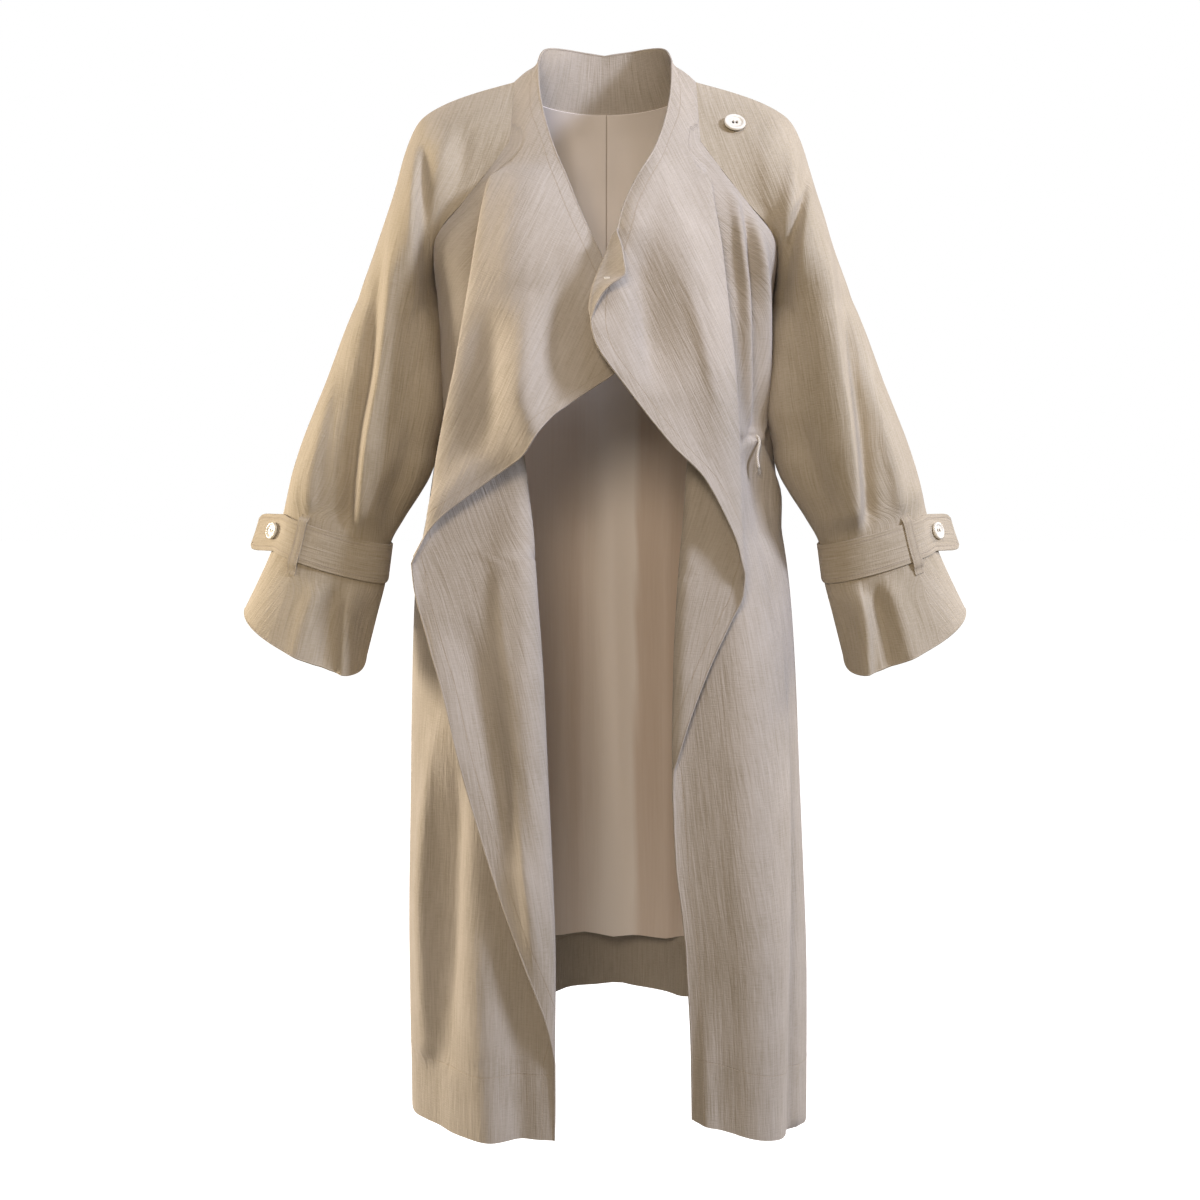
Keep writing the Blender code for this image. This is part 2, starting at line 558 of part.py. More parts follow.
def lathe(name, profile, centre, axis, colour, sides=BUTTON_SIDES):
    """Turned piece: a closed profile of radius and height, spun about an axis."""
    axis = np.asarray(axis) / np.linalg.norm(axis)
    across = np.cross(axis, [0, 0, 1.0])
    across /= np.linalg.norm(across)
    up = np.cross(axis, across)
    points, count = [], len(profile)
    for i in range(sides):
        turn = 2 * math.pi * i / sides
        ray = across * math.cos(turn) + up * math.sin(turn)
        points += [centre + ray * r + axis * h for r, h in profile]
    faces = [(i * count + j, ((i + 1) % sides) * count + j, ((i + 1) % sides) * count + j + 1, i * count + j + 1)
             for i in range(sides) for j in range(count - 1)]
    faces.append([i * count for i in range(sides)][::-1])
    faces.append([i * count + count - 1 for i in range(sides)])
    return mesh_object(name, points, faces, colour, 0.35)


def button(name, diameter, centre, axis):
    """Button with a rounded rim round a shallow dish."""
    r, h = diameter / 2, BUTTON_THICK
    profile = [(0.80 * r, 0), (0.97 * r, 0.28 * h), (r, 0.55 * h), (0.95 * r, 0.9 * h), (0.84 * r, h),
               (0.72 * r, 0.92 * h), (0.62 * r, 0.72 * h), (0.2 * r, 0.66 * h)]
    return lathe(name, profile, centre, axis, (0.82, 0.78, 0.68))


def tube(name, path, radius, sides, colour):
    """Round cord along a path, closed at both ends."""
    path = np.asarray(path, float)
    along = np.gradient(path, axis=0)
    along /= np.linalg.norm(along, axis=1, keepdims=True)
    side = np.cross(along, [0.3, 1.0, 0.1])
    side /= np.linalg.norm(side, axis=1, keepdims=True)
    up = np.cross(along, side)
    turn = np.linspace(0, 2 * math.pi, sides, endpoint=False)
    points = (path[:, None] + radius * (np.cos(turn)[None, :, None] * side[:, None]
                                        + np.sin(turn)[None, :, None] * up[:, None])).reshape(-1, 3)
    faces = [(i * sides + j, i * sides + (j + 1) % sides, (i + 1) * sides + (j + 1) % sides, (i + 1) * sides + j)
             for i in range(len(path) - 1) for j in range(sides)]
    faces += [list(range(sides))[::-1], list(range(len(points) - sides, len(points)))]
    return mesh_object(name, points, faces, colour)


def cord_path():
    """Drawstring end: out of the body layer at the waist, then down in front of it."""
    path = []
    for down, out, along in zip(CORD_DROP["down"], CORD_DROP["out"], CORD_DROP["along"]):
        row = front_row(CORD_Z - down, True)
        body = row[:, :2]
        far = np.concatenate([[0], np.cumsum(np.linalg.norm(np.diff(body, axis=0), axis=1))])
        end = far[int(np.argmin(body[:14, 0]))]
        at = CORD_EXIT_PART * end + along
        here = np.array([np.interp(at, far, body[:, i]) for i in (0, 1)])
        ahead = np.array([np.interp(at + 2, far, body[:, i]) for i in (0, 1)]) - here
        way = np.array([ahead[1], -ahead[0]]) / np.linalg.norm(ahead)
        way *= -1 if way[1] > 0 else 1
        rise = WALL / 2 + CORD_DIAMETER / 2 + out
        path.append([*(here + way * rise), CORD_Z - down])
    return spline(path, 3)


for old in list(bpy.data.objects):
    bpy.data.objects.remove(old)
COAT = bpy.data.collections.new("drawstring_long_coat")
bpy.context.scene.collection.children.link(COAT)

LINEN = (0.46, 0.37, 0.27)
LINEN_SHADE = (0.42, 0.34, 0.25)
SATIN = (0.50, 0.40, 0.32)

for side_name, is_left in (("right", False), ("left", True)):
    panel("front_" + side_name, mirrored(front_panel(is_left), is_left), LINEN)
    for half_name, is_front in (("front", True), ("back", False)):
        panel("sleeve_%s_%s" % (side_name, half_name), mirrored(sleeve_half(is_front), is_left), LINEN_SHADE)
    panel("cuff_strap_" + side_name, mirrored(strap_grid(), is_left), LINEN, STRAP_WALL)
    panel("strap_loop_" + side_name, mirrored(loop_grid(), is_left), LINEN_SHADE, LOOP_WALL)
    strap = strap_grid()
    tab = strap[-6, 1] + (strap[-1, 1] - strap[-6, 1]) * STRAP_BUTTON_ALONG / STRAP_TAB
    face = np.cross(strap[-1, 1] - strap[-6, 1], strap[-5, 0] - strap[-5, 2])
    face *= -np.sign(face[1]) / np.linalg.norm(face)
    seat = tab + face * (STRAP_WALL / 2 + SEAM_GAP)
    button("strap_button_" + side_name, STRAP_BUTTON_DIAMETER,
           mirrored(seat, is_left), mirrored(face, is_left))
panel("back", back_panel(), LINEN)
panel("collar", collar_panel(), LINEN)
panel("back_lining", lining_panel(), SATIN, LINING_WALL)

yoke = sleeve_half(True)
facing = normals(yoke)
gap = np.hypot(yoke[:, :, 0] - SHOULDER_BUTTON_X, yoke[:, :, 2] - SHOULDER_BUTTON_Z)
near = 1 / (gap[:5] + 0.5) ** 3
seat = (yoke[:5] * near[..., None]).sum((0, 1)) / near.sum()
face = (facing[:5] * near[..., None]).sum((0, 1))
face *= -np.sign(face[1]) / np.linalg.norm(face)
button("shoulder_button", SHOULDER_BUTTON_DIAMETER, seat + face * (WALL / 2 + SHOULDER_BUTTON_LIFT), face)
tube("drawstring", cord_path(), CORD_DIAMETER / 2, CORD_SIDES, (0.72, 0.66, 0.56))
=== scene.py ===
"""Looks of an open long coat with a drawn waist: crinkled linen, satin lining, sewing, buttons, cord.

The coat hangs filled out as on a wearer, in the frame's own axes: +Z up, the front faces -Y.
Tables and grids are in millimetres, and x in the cut's tables is the distance out from the middle.
"""
import math

import bpy
import numpy as np
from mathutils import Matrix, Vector


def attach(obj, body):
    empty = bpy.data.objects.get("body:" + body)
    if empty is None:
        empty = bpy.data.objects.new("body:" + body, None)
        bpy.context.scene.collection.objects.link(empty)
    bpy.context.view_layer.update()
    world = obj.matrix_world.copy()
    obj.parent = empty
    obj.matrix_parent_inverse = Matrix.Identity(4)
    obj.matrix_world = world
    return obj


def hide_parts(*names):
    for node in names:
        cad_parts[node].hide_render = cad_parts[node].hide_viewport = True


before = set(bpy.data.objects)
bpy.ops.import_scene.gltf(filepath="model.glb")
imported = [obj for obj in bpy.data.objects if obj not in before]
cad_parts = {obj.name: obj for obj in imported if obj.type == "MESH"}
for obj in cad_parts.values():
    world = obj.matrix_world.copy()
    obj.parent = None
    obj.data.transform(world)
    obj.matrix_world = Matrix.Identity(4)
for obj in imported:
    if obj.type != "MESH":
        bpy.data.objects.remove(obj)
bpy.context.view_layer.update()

# Studio: a pale floor well below the hanging hem and white surroundings. A large cool lamp stands
# to the right of the camera, a weak cool one above, a warm one in front, and two warm ones behind.
CAMERA_AT = (-0.0055, -2.0, -0.284)
CAMERA_DOWN = math.atan(250 / 1773)
LENS_MM = 1773 / 1200 * 36
FLOOR_Z = -1.47
FLOOR_HALF = 9.0
LAMPS = {"key": ((2.65, -1.55, 1.35), (0.0, -0.1, -0.45), 0.6, 119, "#DEE6FF"),
         "top": ((0.5, -0.9, 1.7), (0.0, 0.0, -0.3), 0.8, 13, "#E8EDFF"),
         "fill": ((-0.35, -2.6, 0.6), (0.0, 0.1, -0.45), 0.7, 30, "#FFEDD6"),
         "rim_right": ((2.1, 0.9, 0.5), (0.3, 0.0, -0.4), 0.9, 32, "#FFF0D6"),
         "rim_left": ((-2.3, 0.25, -0.2), (-0.2, 0.0, -0.7), 0.8, 68, "#FFF1DC")}
WHITE_SEEN, WHITE_LIGHT = 1.0, 0.17


def linear(hex_colour):
    """sRGB hex text to linear RGBA, each channel through the sRGB curve."""
    c = np.array([int(hex_colour[i:i + 2], 16) for i in (1, 3, 5)]) / 255
    rgb = np.where(c <= 0.04045, c / 12.92, ((c + 0.055) / 1.055) ** 2.4)
    return (*rgb.tolist(), 1.0)


def set_inputs(tree, node, inputs):
    """Give a node's inputs values or links."""
    for key, value in inputs.items():
        if isinstance(value, bpy.types.NodeSocket):
            tree.links.new(value, node.inputs[key])
        else:
            node.inputs[key].default_value = value


def add_node(tree, kind, inputs=None, **settings):
    """Add one node, set its properties, and give its inputs values or links."""
    made = tree.nodes.new(kind)
    for name, value in settings.items():
        setattr(made, name, value)
    set_inputs(tree, made, inputs or {})
    return made


def new_material(name):
    """A new material with its node tree and its shader."""
    made = bpy.data.materials.new(name)
    made.use_nodes = True
    return made, made.node_tree, made.node_tree.nodes["Principled BSDF"]


camera = bpy.data.objects.new("camera", bpy.data.cameras.new("camera"))
camera.data.lens, camera.data.sensor_width = LENS_MM, 36
camera.location = CAMERA_AT
camera.rotation_euler = (math.pi / 2 - CAMERA_DOWN, 0, 0)
bpy.context.scene.collection.objects.link(camera)
bpy.context.scene.camera = camera
bpy.context.scene.view_settings.view_transform = "Standard"

for name, (place, aim, size, watts, tint) in LAMPS.items():
    lamp = bpy.data.objects.new(name, bpy.data.lights.new(name, "AREA"))
    lamp.data.size, lamp.data.energy, lamp.data.color = size, watts, linear(tint)[:3]
    lamp.location = place
    lamp.rotation_euler = (Vector(aim) - Vector(place)).to_track_quat("-Z", "Y").to_euler()
    bpy.context.scene.collection.objects.link(lamp)

world = bpy.data.worlds.new("white_surroundings")
world.use_nodes = True
sky = world.node_tree
seen = add_node(sky, "ShaderNodeLightPath").outputs["Is Camera Ray"]
level = add_node(sky, "ShaderNodeMapRange",
                 {"Value": seen, "To Min": WHITE_LIGHT, "To Max": WHITE_SEEN}).outputs[0]
tint = add_node(sky, "ShaderNodeMix", {0: seen, 6: linear("#FFECD2"), 7: linear("#FFFFFF")},
                data_type="RGBA").outputs[2]
set_inputs(sky, sky.nodes["Background"], {"Color": tint, "Strength": level})
bpy.context.scene.world = world

floor_mesh = bpy.data.meshes.new("floor")
floor_mesh.from_pydata([(x * FLOOR_HALF, y * FLOOR_HALF, FLOOR_Z) for x, y in
                        ((-1, -1), (1, -1), (1, 1), (-1, 1))], [], [(0, 1, 2, 3)])
floor = bpy.data.objects.new("floor", floor_mesh)
floor_paint, tree, shader = new_material("pale_floor_paint")
set_inputs(tree, shader, {"Base Color": linear("#BCBEC2"), "Roughness": 0.8,
                          "Emission Color": linear("#FFFFFF"), "Emission Strength": 1.0})
floor.visible_diffuse = False
floor_mesh.materials.append(floor_paint)
bpy.context.scene.collection.objects.link(floor)

# Fronts: one panel of crinkled linen each, from the side of the neck to the hem. It runs from the
# raglan and side seam to the middle, folds back on itself, folds forward again as the lapel, and
# ends in a free edge that is turned and stitched. The left lapel's corner has flipped over.
WALL, EDGE_ROLL = 1.3, 1.15
SPAN = 14
NO_SEAM, SEAM_FADE = 99.0, 16
NECK_POINT_Z, UNDERARM_Z = -65, -240
FRONT_COLUMNS = 230
FOLD_WEIGHT = 60.0
NECK_LINES, NECK_EASE, ARM_EASE = 16, 4, 11
CORNER_DROP, CORNER_REACH = 12, 21
RAGLAN_INSET, SIDE_OVERLAP = 0.5, 0.4
FRONT_Z = np.concatenate([np.arange(NECK_POINT_Z, -150, -4.0), np.arange(-150, -262, -3.4),
                          np.arange(-262, -345, -4.6), np.arange(-345, -420, -2.8),
                          np.arange(-420, -1146, -8.6), [-1146.0]])
EDGE_STITCH = 14
LAPEL_LEAN = 26
HEM_STITCH = 75
LINEN_LIGHT, LINEN_MIDDLE, LINEN_DARK = "#BBB2A6", "#B2A89B", "#A49A8A"

NECK = {"half_width": 99, "back_y": 80, "side_y": -5, "back_z": -20, "side_z": 5}
NECK_EDGE = {"part": (0.0, 0.35, 0.7, 1.0),
             "x": (73, 72, 67, 58), "y": (6, -24, -58, -90), "z": (41, 6, -30, -65)}
RAGLAN_FRONT = {"z": (-240, -205, -172, -132, -97, -65),
                "x": (180, 185, 182, 152, 124, 101),
                "y": (8, -38, -70, -84, -80, -70)}
SIDE_RIGHT = {"z": (-1146, -958, -800, -664, -542, -500, -450, -376, -300, -240),
              "x": (224, 224, 221, 218, 213, 206, 197, 188, 186, 180),
              "y": (10, 8, 6, 5, 4, 5, 6, 8, 8, 8)}
SIDE_LEFT = {"z": (-1146, -983, -847, -752, -659, -603, -526, -461, -407, -376, -300, -240),
             "x": (233, 231, 224, 218, 213, 209, 202, 195, 190, 188, 186, 180),
             "y": (10, 8, 6, 6, 5, 5, 5, 6, 8, 8, 8, 8)}
BODY = {"z": (-1146, -946, -817, -625, -505, -475, -372, -300, -246, -200, -162, -132, -105, -85, -65),
        "square": (2.9, 2.8, 2.7, 2.6, 2.4, 2.2, 1.9, 2.1, 2.7, 3.0, 2.4, 1.6, 1.3, 1.2, 1.2),
        "y": (-150, -149, -144, -134, -126, -122, -116, -120, -120, -116, -110, -102, -90, -80, -72)}
FOLDS_RIGHT = {"z": (-1146, -1060, -946, -817, -733, -625, -505, -475, -393, -372, -300, -246,
                     -200, -162, -132, -105, -85, -65),
               "inner": (54, 55, 54, 58, 62, 67, 77, 79, 86, 92, 101, 100, 102, 108, 113, 115, 110, 101),
               "outer": (212, 212, 211, 210, 209, 207, 203, 189, 176, 172, 157, 146, 138, 132, 127,
                         121, 106, 96),
               "radius": (2, 4, 7, 8, 8, 8, 8, 8, 8, 8, 8, 7, 6, 5, 4, 3, 1, 0)}
FOLDS_LEFT = {"z": (-1146, -1050, -971, -892, -830, -769, -703, -620, -517, -473, -415, -388, -294,
                    -246, -182, -132, -101, -85, -65),
              "inner": (93, 91, 87, 81, 75, 73, 72, 73, 78, 82, 86, 88, 95, 97, 99, 103, 105, 106, 101),
              "outer": (170, 168, 166, 162, 158, 155, 152, 149, 147, 144, 142, 141, 134, 128, 121,
                        113, 109, 102, 96),
              "radius": (2, 2, 2, 3, 4, 5, 7, 8, 8, 8, 8, 8, 8, 7, 6, 4, 3, 1, 0)}
TOP_RIGHT = {"z": (-1146, -505, -372, -286, -246, -197, -140, -105, -65),
             "x": (-41, -41, -41, -41, -23, 0, 27, 41, 58),
             "y": (-170, -170, -175, -170, -164, -152, -130, -112, -90),
             "roll": (6, 6, 22, 20, 16, 12, 8, 4, 0)}
TOP_LEFT = {"z": (-1146, -517, -473, -372, -300, -254, -200, -162, -146, -106, -65),
            "x": (-23, -23, -23, -23, -23, -23, -2, 13, 17, 36, 58),
            "y": (-165, -165, -180, -198, -196, -190, -176, -160, -150, -118, -90),
            "roll": (4, 6, 12, 16, 14, 12, 10, 8, 6, 4, 0)}
EDGE_RIGHT = {"top_z": (-505, -477, -454, -435, -410, -389, -350, -324, -307, -288),
              "top_x": (203, 187, 168, 144, 110, 82, 54, 17, -10, -41),
              "under_z": (-1051, -1014, -949, -870, -795, -714, -637, -584, -532, -506),
              "under_x": (55, 62, 83, 111, 134, 156, 173, 188, 201, 203),
              "flat_z": -1146}
EDGE_LEFT = {"top_z": (-517, -476, -452, -414, -382, -355, -306, -289, -270, -254),
             "top_x": (147, 134, 122, 99, 69, 48, 10, -4, -19, -23),
             "under_z": (-730, -672, -613, -567, -540, -518),
             "under_x": (73, 90, 112, 133, 145, 147),
             "flat_z": -950}
FLUTES_RIGHT = {"z": (-1146, -800, -520, -384, -300), "depth": (7, 6, 3, 4, 0)}
FLUTES_LEFT = {"z": (-1146, -800, -600, -384, -300), "depth": (10, 9, 6, 5, 0)}
FLUTES_PER_FRONT = 1.6
HEM_RISE_LEFT, HEM_DROP_LEFT, HEM_RISE_STARTS = 26, 16, -860

# The flipped corner of the left lapel: how far it reaches back over the lapel, by height
FLIPPED = {"z": (-254, -240, -229, -222, -214, -200, -180, -162),
           "width": (0, 6, 11, 18, 28, 21, 10, 0)}
FLIP_RADIUS, FLIP_LIFT, FLIP_TURNS = 2.4, 13.0, 9
TACK = {"x": 2, "z": -212, "stitches": 9, "pitch": 0.75, "length": 2.6}

# Creases of the fronts: a line seen from the front as its x and its z, how far it stands out along
# it, and how far it fades to the left and right. Layers run 0 to 1 body, 1 to 2 reverse, 2 to 3 lapel.
BODY_LAYER, REVERSE_LAYER, LAPEL_LAYER = (-1, 1), (1, 2), (2, 4)
CREASES_RIGHT = {
    LAPEL_LAYER: [
        ((-74, -80, -80, -70), (-225, -279, -324, -372), (0, 13, 18, 12), 26, 13),
        ((-118, -124, -128), (-240, -310, -380), (0, -9, -6), 20, 15),
        ((-66, -88, -97, -108), (-80, -134, -193, -270), (1, 9, 12, 0), 30, 34),
        ((-42, -48, -44), (-180, -260, -330), (0, -13, -8), 15, 26),
        ((-108, -139, -170, -192), (-366, -406, -441, -470), (2, 6, 7, 3), 14, 20)],
    REVERSE_LAYER: [
        ((-82, -90, -86, -80, -72), (-430, -502, -652, -816, -985), (3, 12, 14, 11, 2), 26, 16),
        ((-150, -128, -104, -92), (-560, -650, -760, -840), (0, -8, -9, 0), 20, 14),
        ((-186, -176, -160, -140), (-540, -620, -700, -790), (2, 6, 6, 0), 12, 18),
        ((-104, -92, -80, -74), (-700, -790, -880, -960), (0, 5, 5, 0), 8, 7),
        ((-112, -110, -98), (-470, -560, -660), (0, 4, 0), 8, 9)],
    BODY_LAYER: [
        ((-178, -189, -196, -199), (-660, -769, -881, -1060), (0, 12, 15, 8), 14, 11),
        ((-158, -166, -172, -176), (-700, -800, -920, -1060), (0, -10, -11, -5), 10, 15),
        ((-128, -132, -126), (-860, -980, -1146), (0, 7, 9), 18, 18),
        ((-92, -96, -92), (-960, -1050, -1146), (0, -5, -6), 14, 14),
        ((-150, -160, -172), (-180, -300, -400), (0, 4, 0), 12, 16)]}
CREASES_LEFT = {
    LAPEL_LAYER: [
        ((46, 62, 86, 105, 114, 121), (-55, -124, -194, -274, -355, -427), (0, 6, 10, 13, 11, 3), 26, 19),
        ((27, 38, 48, 55), (-165, -210, -264, -330), (0, -14, -17, -3), 18, 24),
        ((56, 40, 28, 24), (-80, -115, -150, -190), (0, 6, 8, 4), 14, 16),
        ((-12, -4, 12), (-262, -292, -322), (8, 7, 0), 13, 15),
        ((54, 82, 108, 128), (-350, -402, -448, -486), (0, 6, 8, 4), 17, 15),
        ((70, 92, 110), (-190, -270, -350), (0, 4, 0), 5, 7)],
    BODY_LAYER: [
        ((130, 138, 143, 146, 148, 151, 156, 161), (-100, -140, -184, -221, -280, -330, -360, -377),
         (0, 6, 9, 10, 10, 9, 7, 3), 5, 6),
        ((142, 150, 154, 156, 157, 158), (-124, -164, -200, -244, -310, -366), (0, -7, -10, -10, -9, -7),
         5, 5),
        ((154, 164, 168, 170, 170, 168), (-140, -186, -240, -300, -345, -378), (0, 7, 9, 9, 7, 3), 5, 6),
        ((163, 170, 178, 187, 192), (-377, -398, -420, -446, -490), (2, 7, 9, 7, 0), 8, 6),
        ((150, 158, 166, 172), (-384, -410, -440, -490), (-4, -7, -6, 0), 10, 6),
        ((150, 158, 172), (-378, -376, -377), (-1, -3.5, -1), 5, 5),
        ((178, 175, 174, 176), (-480, -620, -800, -1146), (0, 20, 28, 19), 62, 20),
        ((190, 200, 208, 212), (-480, -666, -894, -1146), (0, 5, 7, 7), 9, 11),
        ((112, 110, 112), (-960, -1060, -1146), (0, 5, 7), 9, 12)]}
CREASES_LEFT[BODY_LAYER] += [
    (xs, zs, (1, 3), 3.4, 3.4)
    for xs, zs in (((147, 156), (-396, -381)), ((152, 159), (-402, -382)),
                   ((174, 166), (-362, -375)), ((178, 168), (-388, -379)))]


def unit(vectors):
    """Vectors scaled to length 1."""
    return vectors / np.maximum(np.linalg.norm(vectors, axis=-1, keepdims=True), 1e-9)


def travel(path):
    """Distance covered along a path at each of its points."""
    return np.append(0, np.cumsum(np.linalg.norm(np.diff(path, axis=0), axis=1)))


def smooth(knots, values, at):
    """Cubic through values along their first axis that never overshoots: slopes are harmonic means."""
    knots, values = np.asarray(knots, float), np.asarray(values, float)
    at = np.clip(np.asarray(at, float), knots[0], knots[-1])
    rest = (1,) * (values.ndim - 1)
    step = np.diff(knots).reshape(-1, *rest)
    slope = np.diff(values, axis=0) / step
    both = slope[:-1] * slope[1:]
    inner = np.where(both > 0, 2 * both / np.where(both > 0, slope[:-1] + slope[1:], 1), 0)
    tangent = np.concatenate([slope[:1], inner, slope[-1:]])
    i = np.clip(np.searchsorted(knots, at, side="right") - 1, 0, len(knots) - 2)
    u = (at - knots[i]) / np.diff(knots)[i]
    u, h = np.reshape(u, (*np.shape(u), *rest)), step[i]
    return ((1 + 2 * u) * (1 - u) ** 2 * values[i] + u * (1 - u) ** 2 * h * tangent[i]
            + u * u * (3 - 2 * u) * values[i + 1] + u * u * (u - 1) * h * tangent[i + 1])


def read(table, column, z, key="z"):
    """One column of a table at a height."""
    return smooth(table[key], table[column], z)


def spline(points):
    """Smooth curve through control points, its knots the roots of their distances."""
    p = np.asarray(points, float)
    p = np.vstack([2 * p[0] - p[1], p, 2 * p[-1] - p[-2]])
    t = np.concatenate([[0], np.cumsum(np.sqrt(np.linalg.norm(np.diff(p, axis=0), axis=1)) + 1e-6)])
    i = np.repeat(np.arange(1, len(p) - 2), SPAN)
    s = (t[i] + (t[i + 1] - t[i]) * np.tile(np.arange(SPAN) / SPAN, len(p) - 3))[:, None]
    knot = {j: t[i + j][:, None] for j in (-1, 0, 1, 2)}
    a = [((knot[j] - s) * p[i + j - 1] + (s - knot[j - 1]) * p[i + j]) / (knot[j] - knot[j - 1])
         for j in (0, 1, 2)]
    b = [((knot[1] - s) * a[0] + (s - knot[-1]) * a[1]) / (knot[1] - knot[-1]),
         ((knot[2] - s) * a[1] + (s - knot[0]) * a[2]) / (knot[2] - knot[0])]
    curve = ((knot[1] - s) * b[0] + (s - knot[0]) * b[1]) / (knot[1] - knot[0])
    return np.vstack([curve, p[-2:-1]])


def side_point(z, left):
    """Where a front ends at its seam: raglan above the underarm, side seam below."""
    table = RAGLAN_FRONT if z > UNDERARM_Z else (SIDE_LEFT if left else SIDE_RIGHT)
    return np.array([read(table, "x", z), read(table, "y", z)])


def front_layers(z, left):
    """Control points across a front: a squared-off quarter turn for the body layer, then two half
    turns of the fold's radius with the reverse layer between them, then the rolled lapel."""
    folds, top = (FOLDS_LEFT, TOP_LEFT) if left else (FOLDS_RIGHT, TOP_RIGHT)
    flutes = FLUTES_LEFT if left else FLUTES_RIGHT
    seam = side_point(z, left)
    inner, outer, r = (float(read(folds, c, z)) for c in ("inner", "outer", "radius"))
    square, body_y = read(BODY, "square", z), float(read(BODY, "y", z))
    r = float(np.clip(r, 0, max(0.0, (outer - inner) / 2)))
    tip = np.array([inner, body_y - r])
    outer_tip = tip + [outer - inner, -2 * r - (3 if r > 1 else 0)]
    body_end = np.array([inner + r, body_y])
    part = np.linspace(0, 1, 9)[1:-1]
    turn = part * math.pi / 2
    wave = np.sin(2 * math.pi * FLUTES_PER_FRONT * part) * np.sin(math.pi * part) * read(flutes, "depth", z)
    body = np.column_stack([body_end[0] + (seam[0] - body_end[0]) * np.cos(turn) ** (2 / square) + 0.4 * wave,
                            seam[1] + (body_end[1] - seam[1]) * np.sin(turn) ** (2 / square) - wave])
    points = [seam, *body]
    if r > 1.2:
        away = outer_tip - tip - [2 * r, -2 * r]
        points += [body_end, tip, tip + [r, -r], tip + [r, -r] + away * 0.35, tip + [r, -r] + away * 0.7,
                   outer_tip + [-r, r], outer_tip, outer_tip + [-r, -r]]
        places = [9, 14]
    else:
        points += [np.array([inner, body_y]), np.array([outer, body_y - 4 * r - 1.5])]
        places = [8, 9]
    start, end = points[-1], np.array([read(top, "x", z), read(top, "y", z)])
    roll = float(read(top, "roll", z))
    points += [start + (end - start) * s - [0, roll * math.sin(math.pi * s ** 1.3)]
               for s in (0.2, 0.4, 0.6, 0.8)]
    return [*points, end], [*places, len(points)]


def front_line(z, left):
    """Level line across a front, cut off at the free edge, closer where it turns.

    Columns are x, y, the layer and the distance along the cloth from the seam."""
    points, places = front_layers(z, left)
    curve = spline(points)
    index = np.arange(len(curve))
    layer = np.interp(index, np.array([0, *places]) * SPAN, [0, 1, 2, 3])
    inner_i, outer_i = places[0] * SPAN, places[1] * SPAN
    edge = EDGE_LEFT if left else EDGE_RIGHT
    merge_z, last = edge["under_z"][0], float(index[-1])
    if z < edge["under_z"][-1]:
        reach = np.maximum.accumulate(curve[inner_i:outer_i + 1, 0])
        last = read(edge, "under_x", max(z, merge_z), "under_z")
        last = inner_i + np.interp(last, reach, np.arange(len(reach)))
        last += (inner_i - SPAN - last) * np.clip((merge_z - z) / (merge_z - edge["flat_z"]), 0, 1)
    elif z < edge["top_z"][-1]:
        reach = np.minimum.accumulate(curve[outer_i:, 0])
        last = outer_i + np.interp(-read(edge, "top_x", z, "top_z"), -reach, np.arange(len(reach)))
    way = unit(np.diff(curve, axis=0))
    turn = np.append(0, np.arccos(np.clip((way[1:] * way[:-1]).sum(1), -1, 1)))
    turn[outer_i + 3 * SPAN:] = 0
    far = travel(curve)
    pace = far + np.append(0, np.cumsum(FOLD_WEIGHT * turn / math.pi))
    at = np.linspace(0, np.interp(last, index, pace), FRONT_COLUMNS)
    return np.column_stack([np.interp(at, pace, c) for c in (*curve.T, layer, far)])


def neck_seam(part):
    """Neck seam as a quarter ellipse from the centre back, part 0, to the shoulder end, part 1."""
    turn = np.asarray(part, float) * math.pi / 2
    return np.stack([NECK["half_width"] * np.sin(turn),
                     NECK["side_y"] + (NECK["back_y"] - NECK["side_y"]) * np.cos(turn),
                     NECK["side_z"] + (NECK["back_z"] - NECK["side_z"]) * np.cos(turn)], -1)


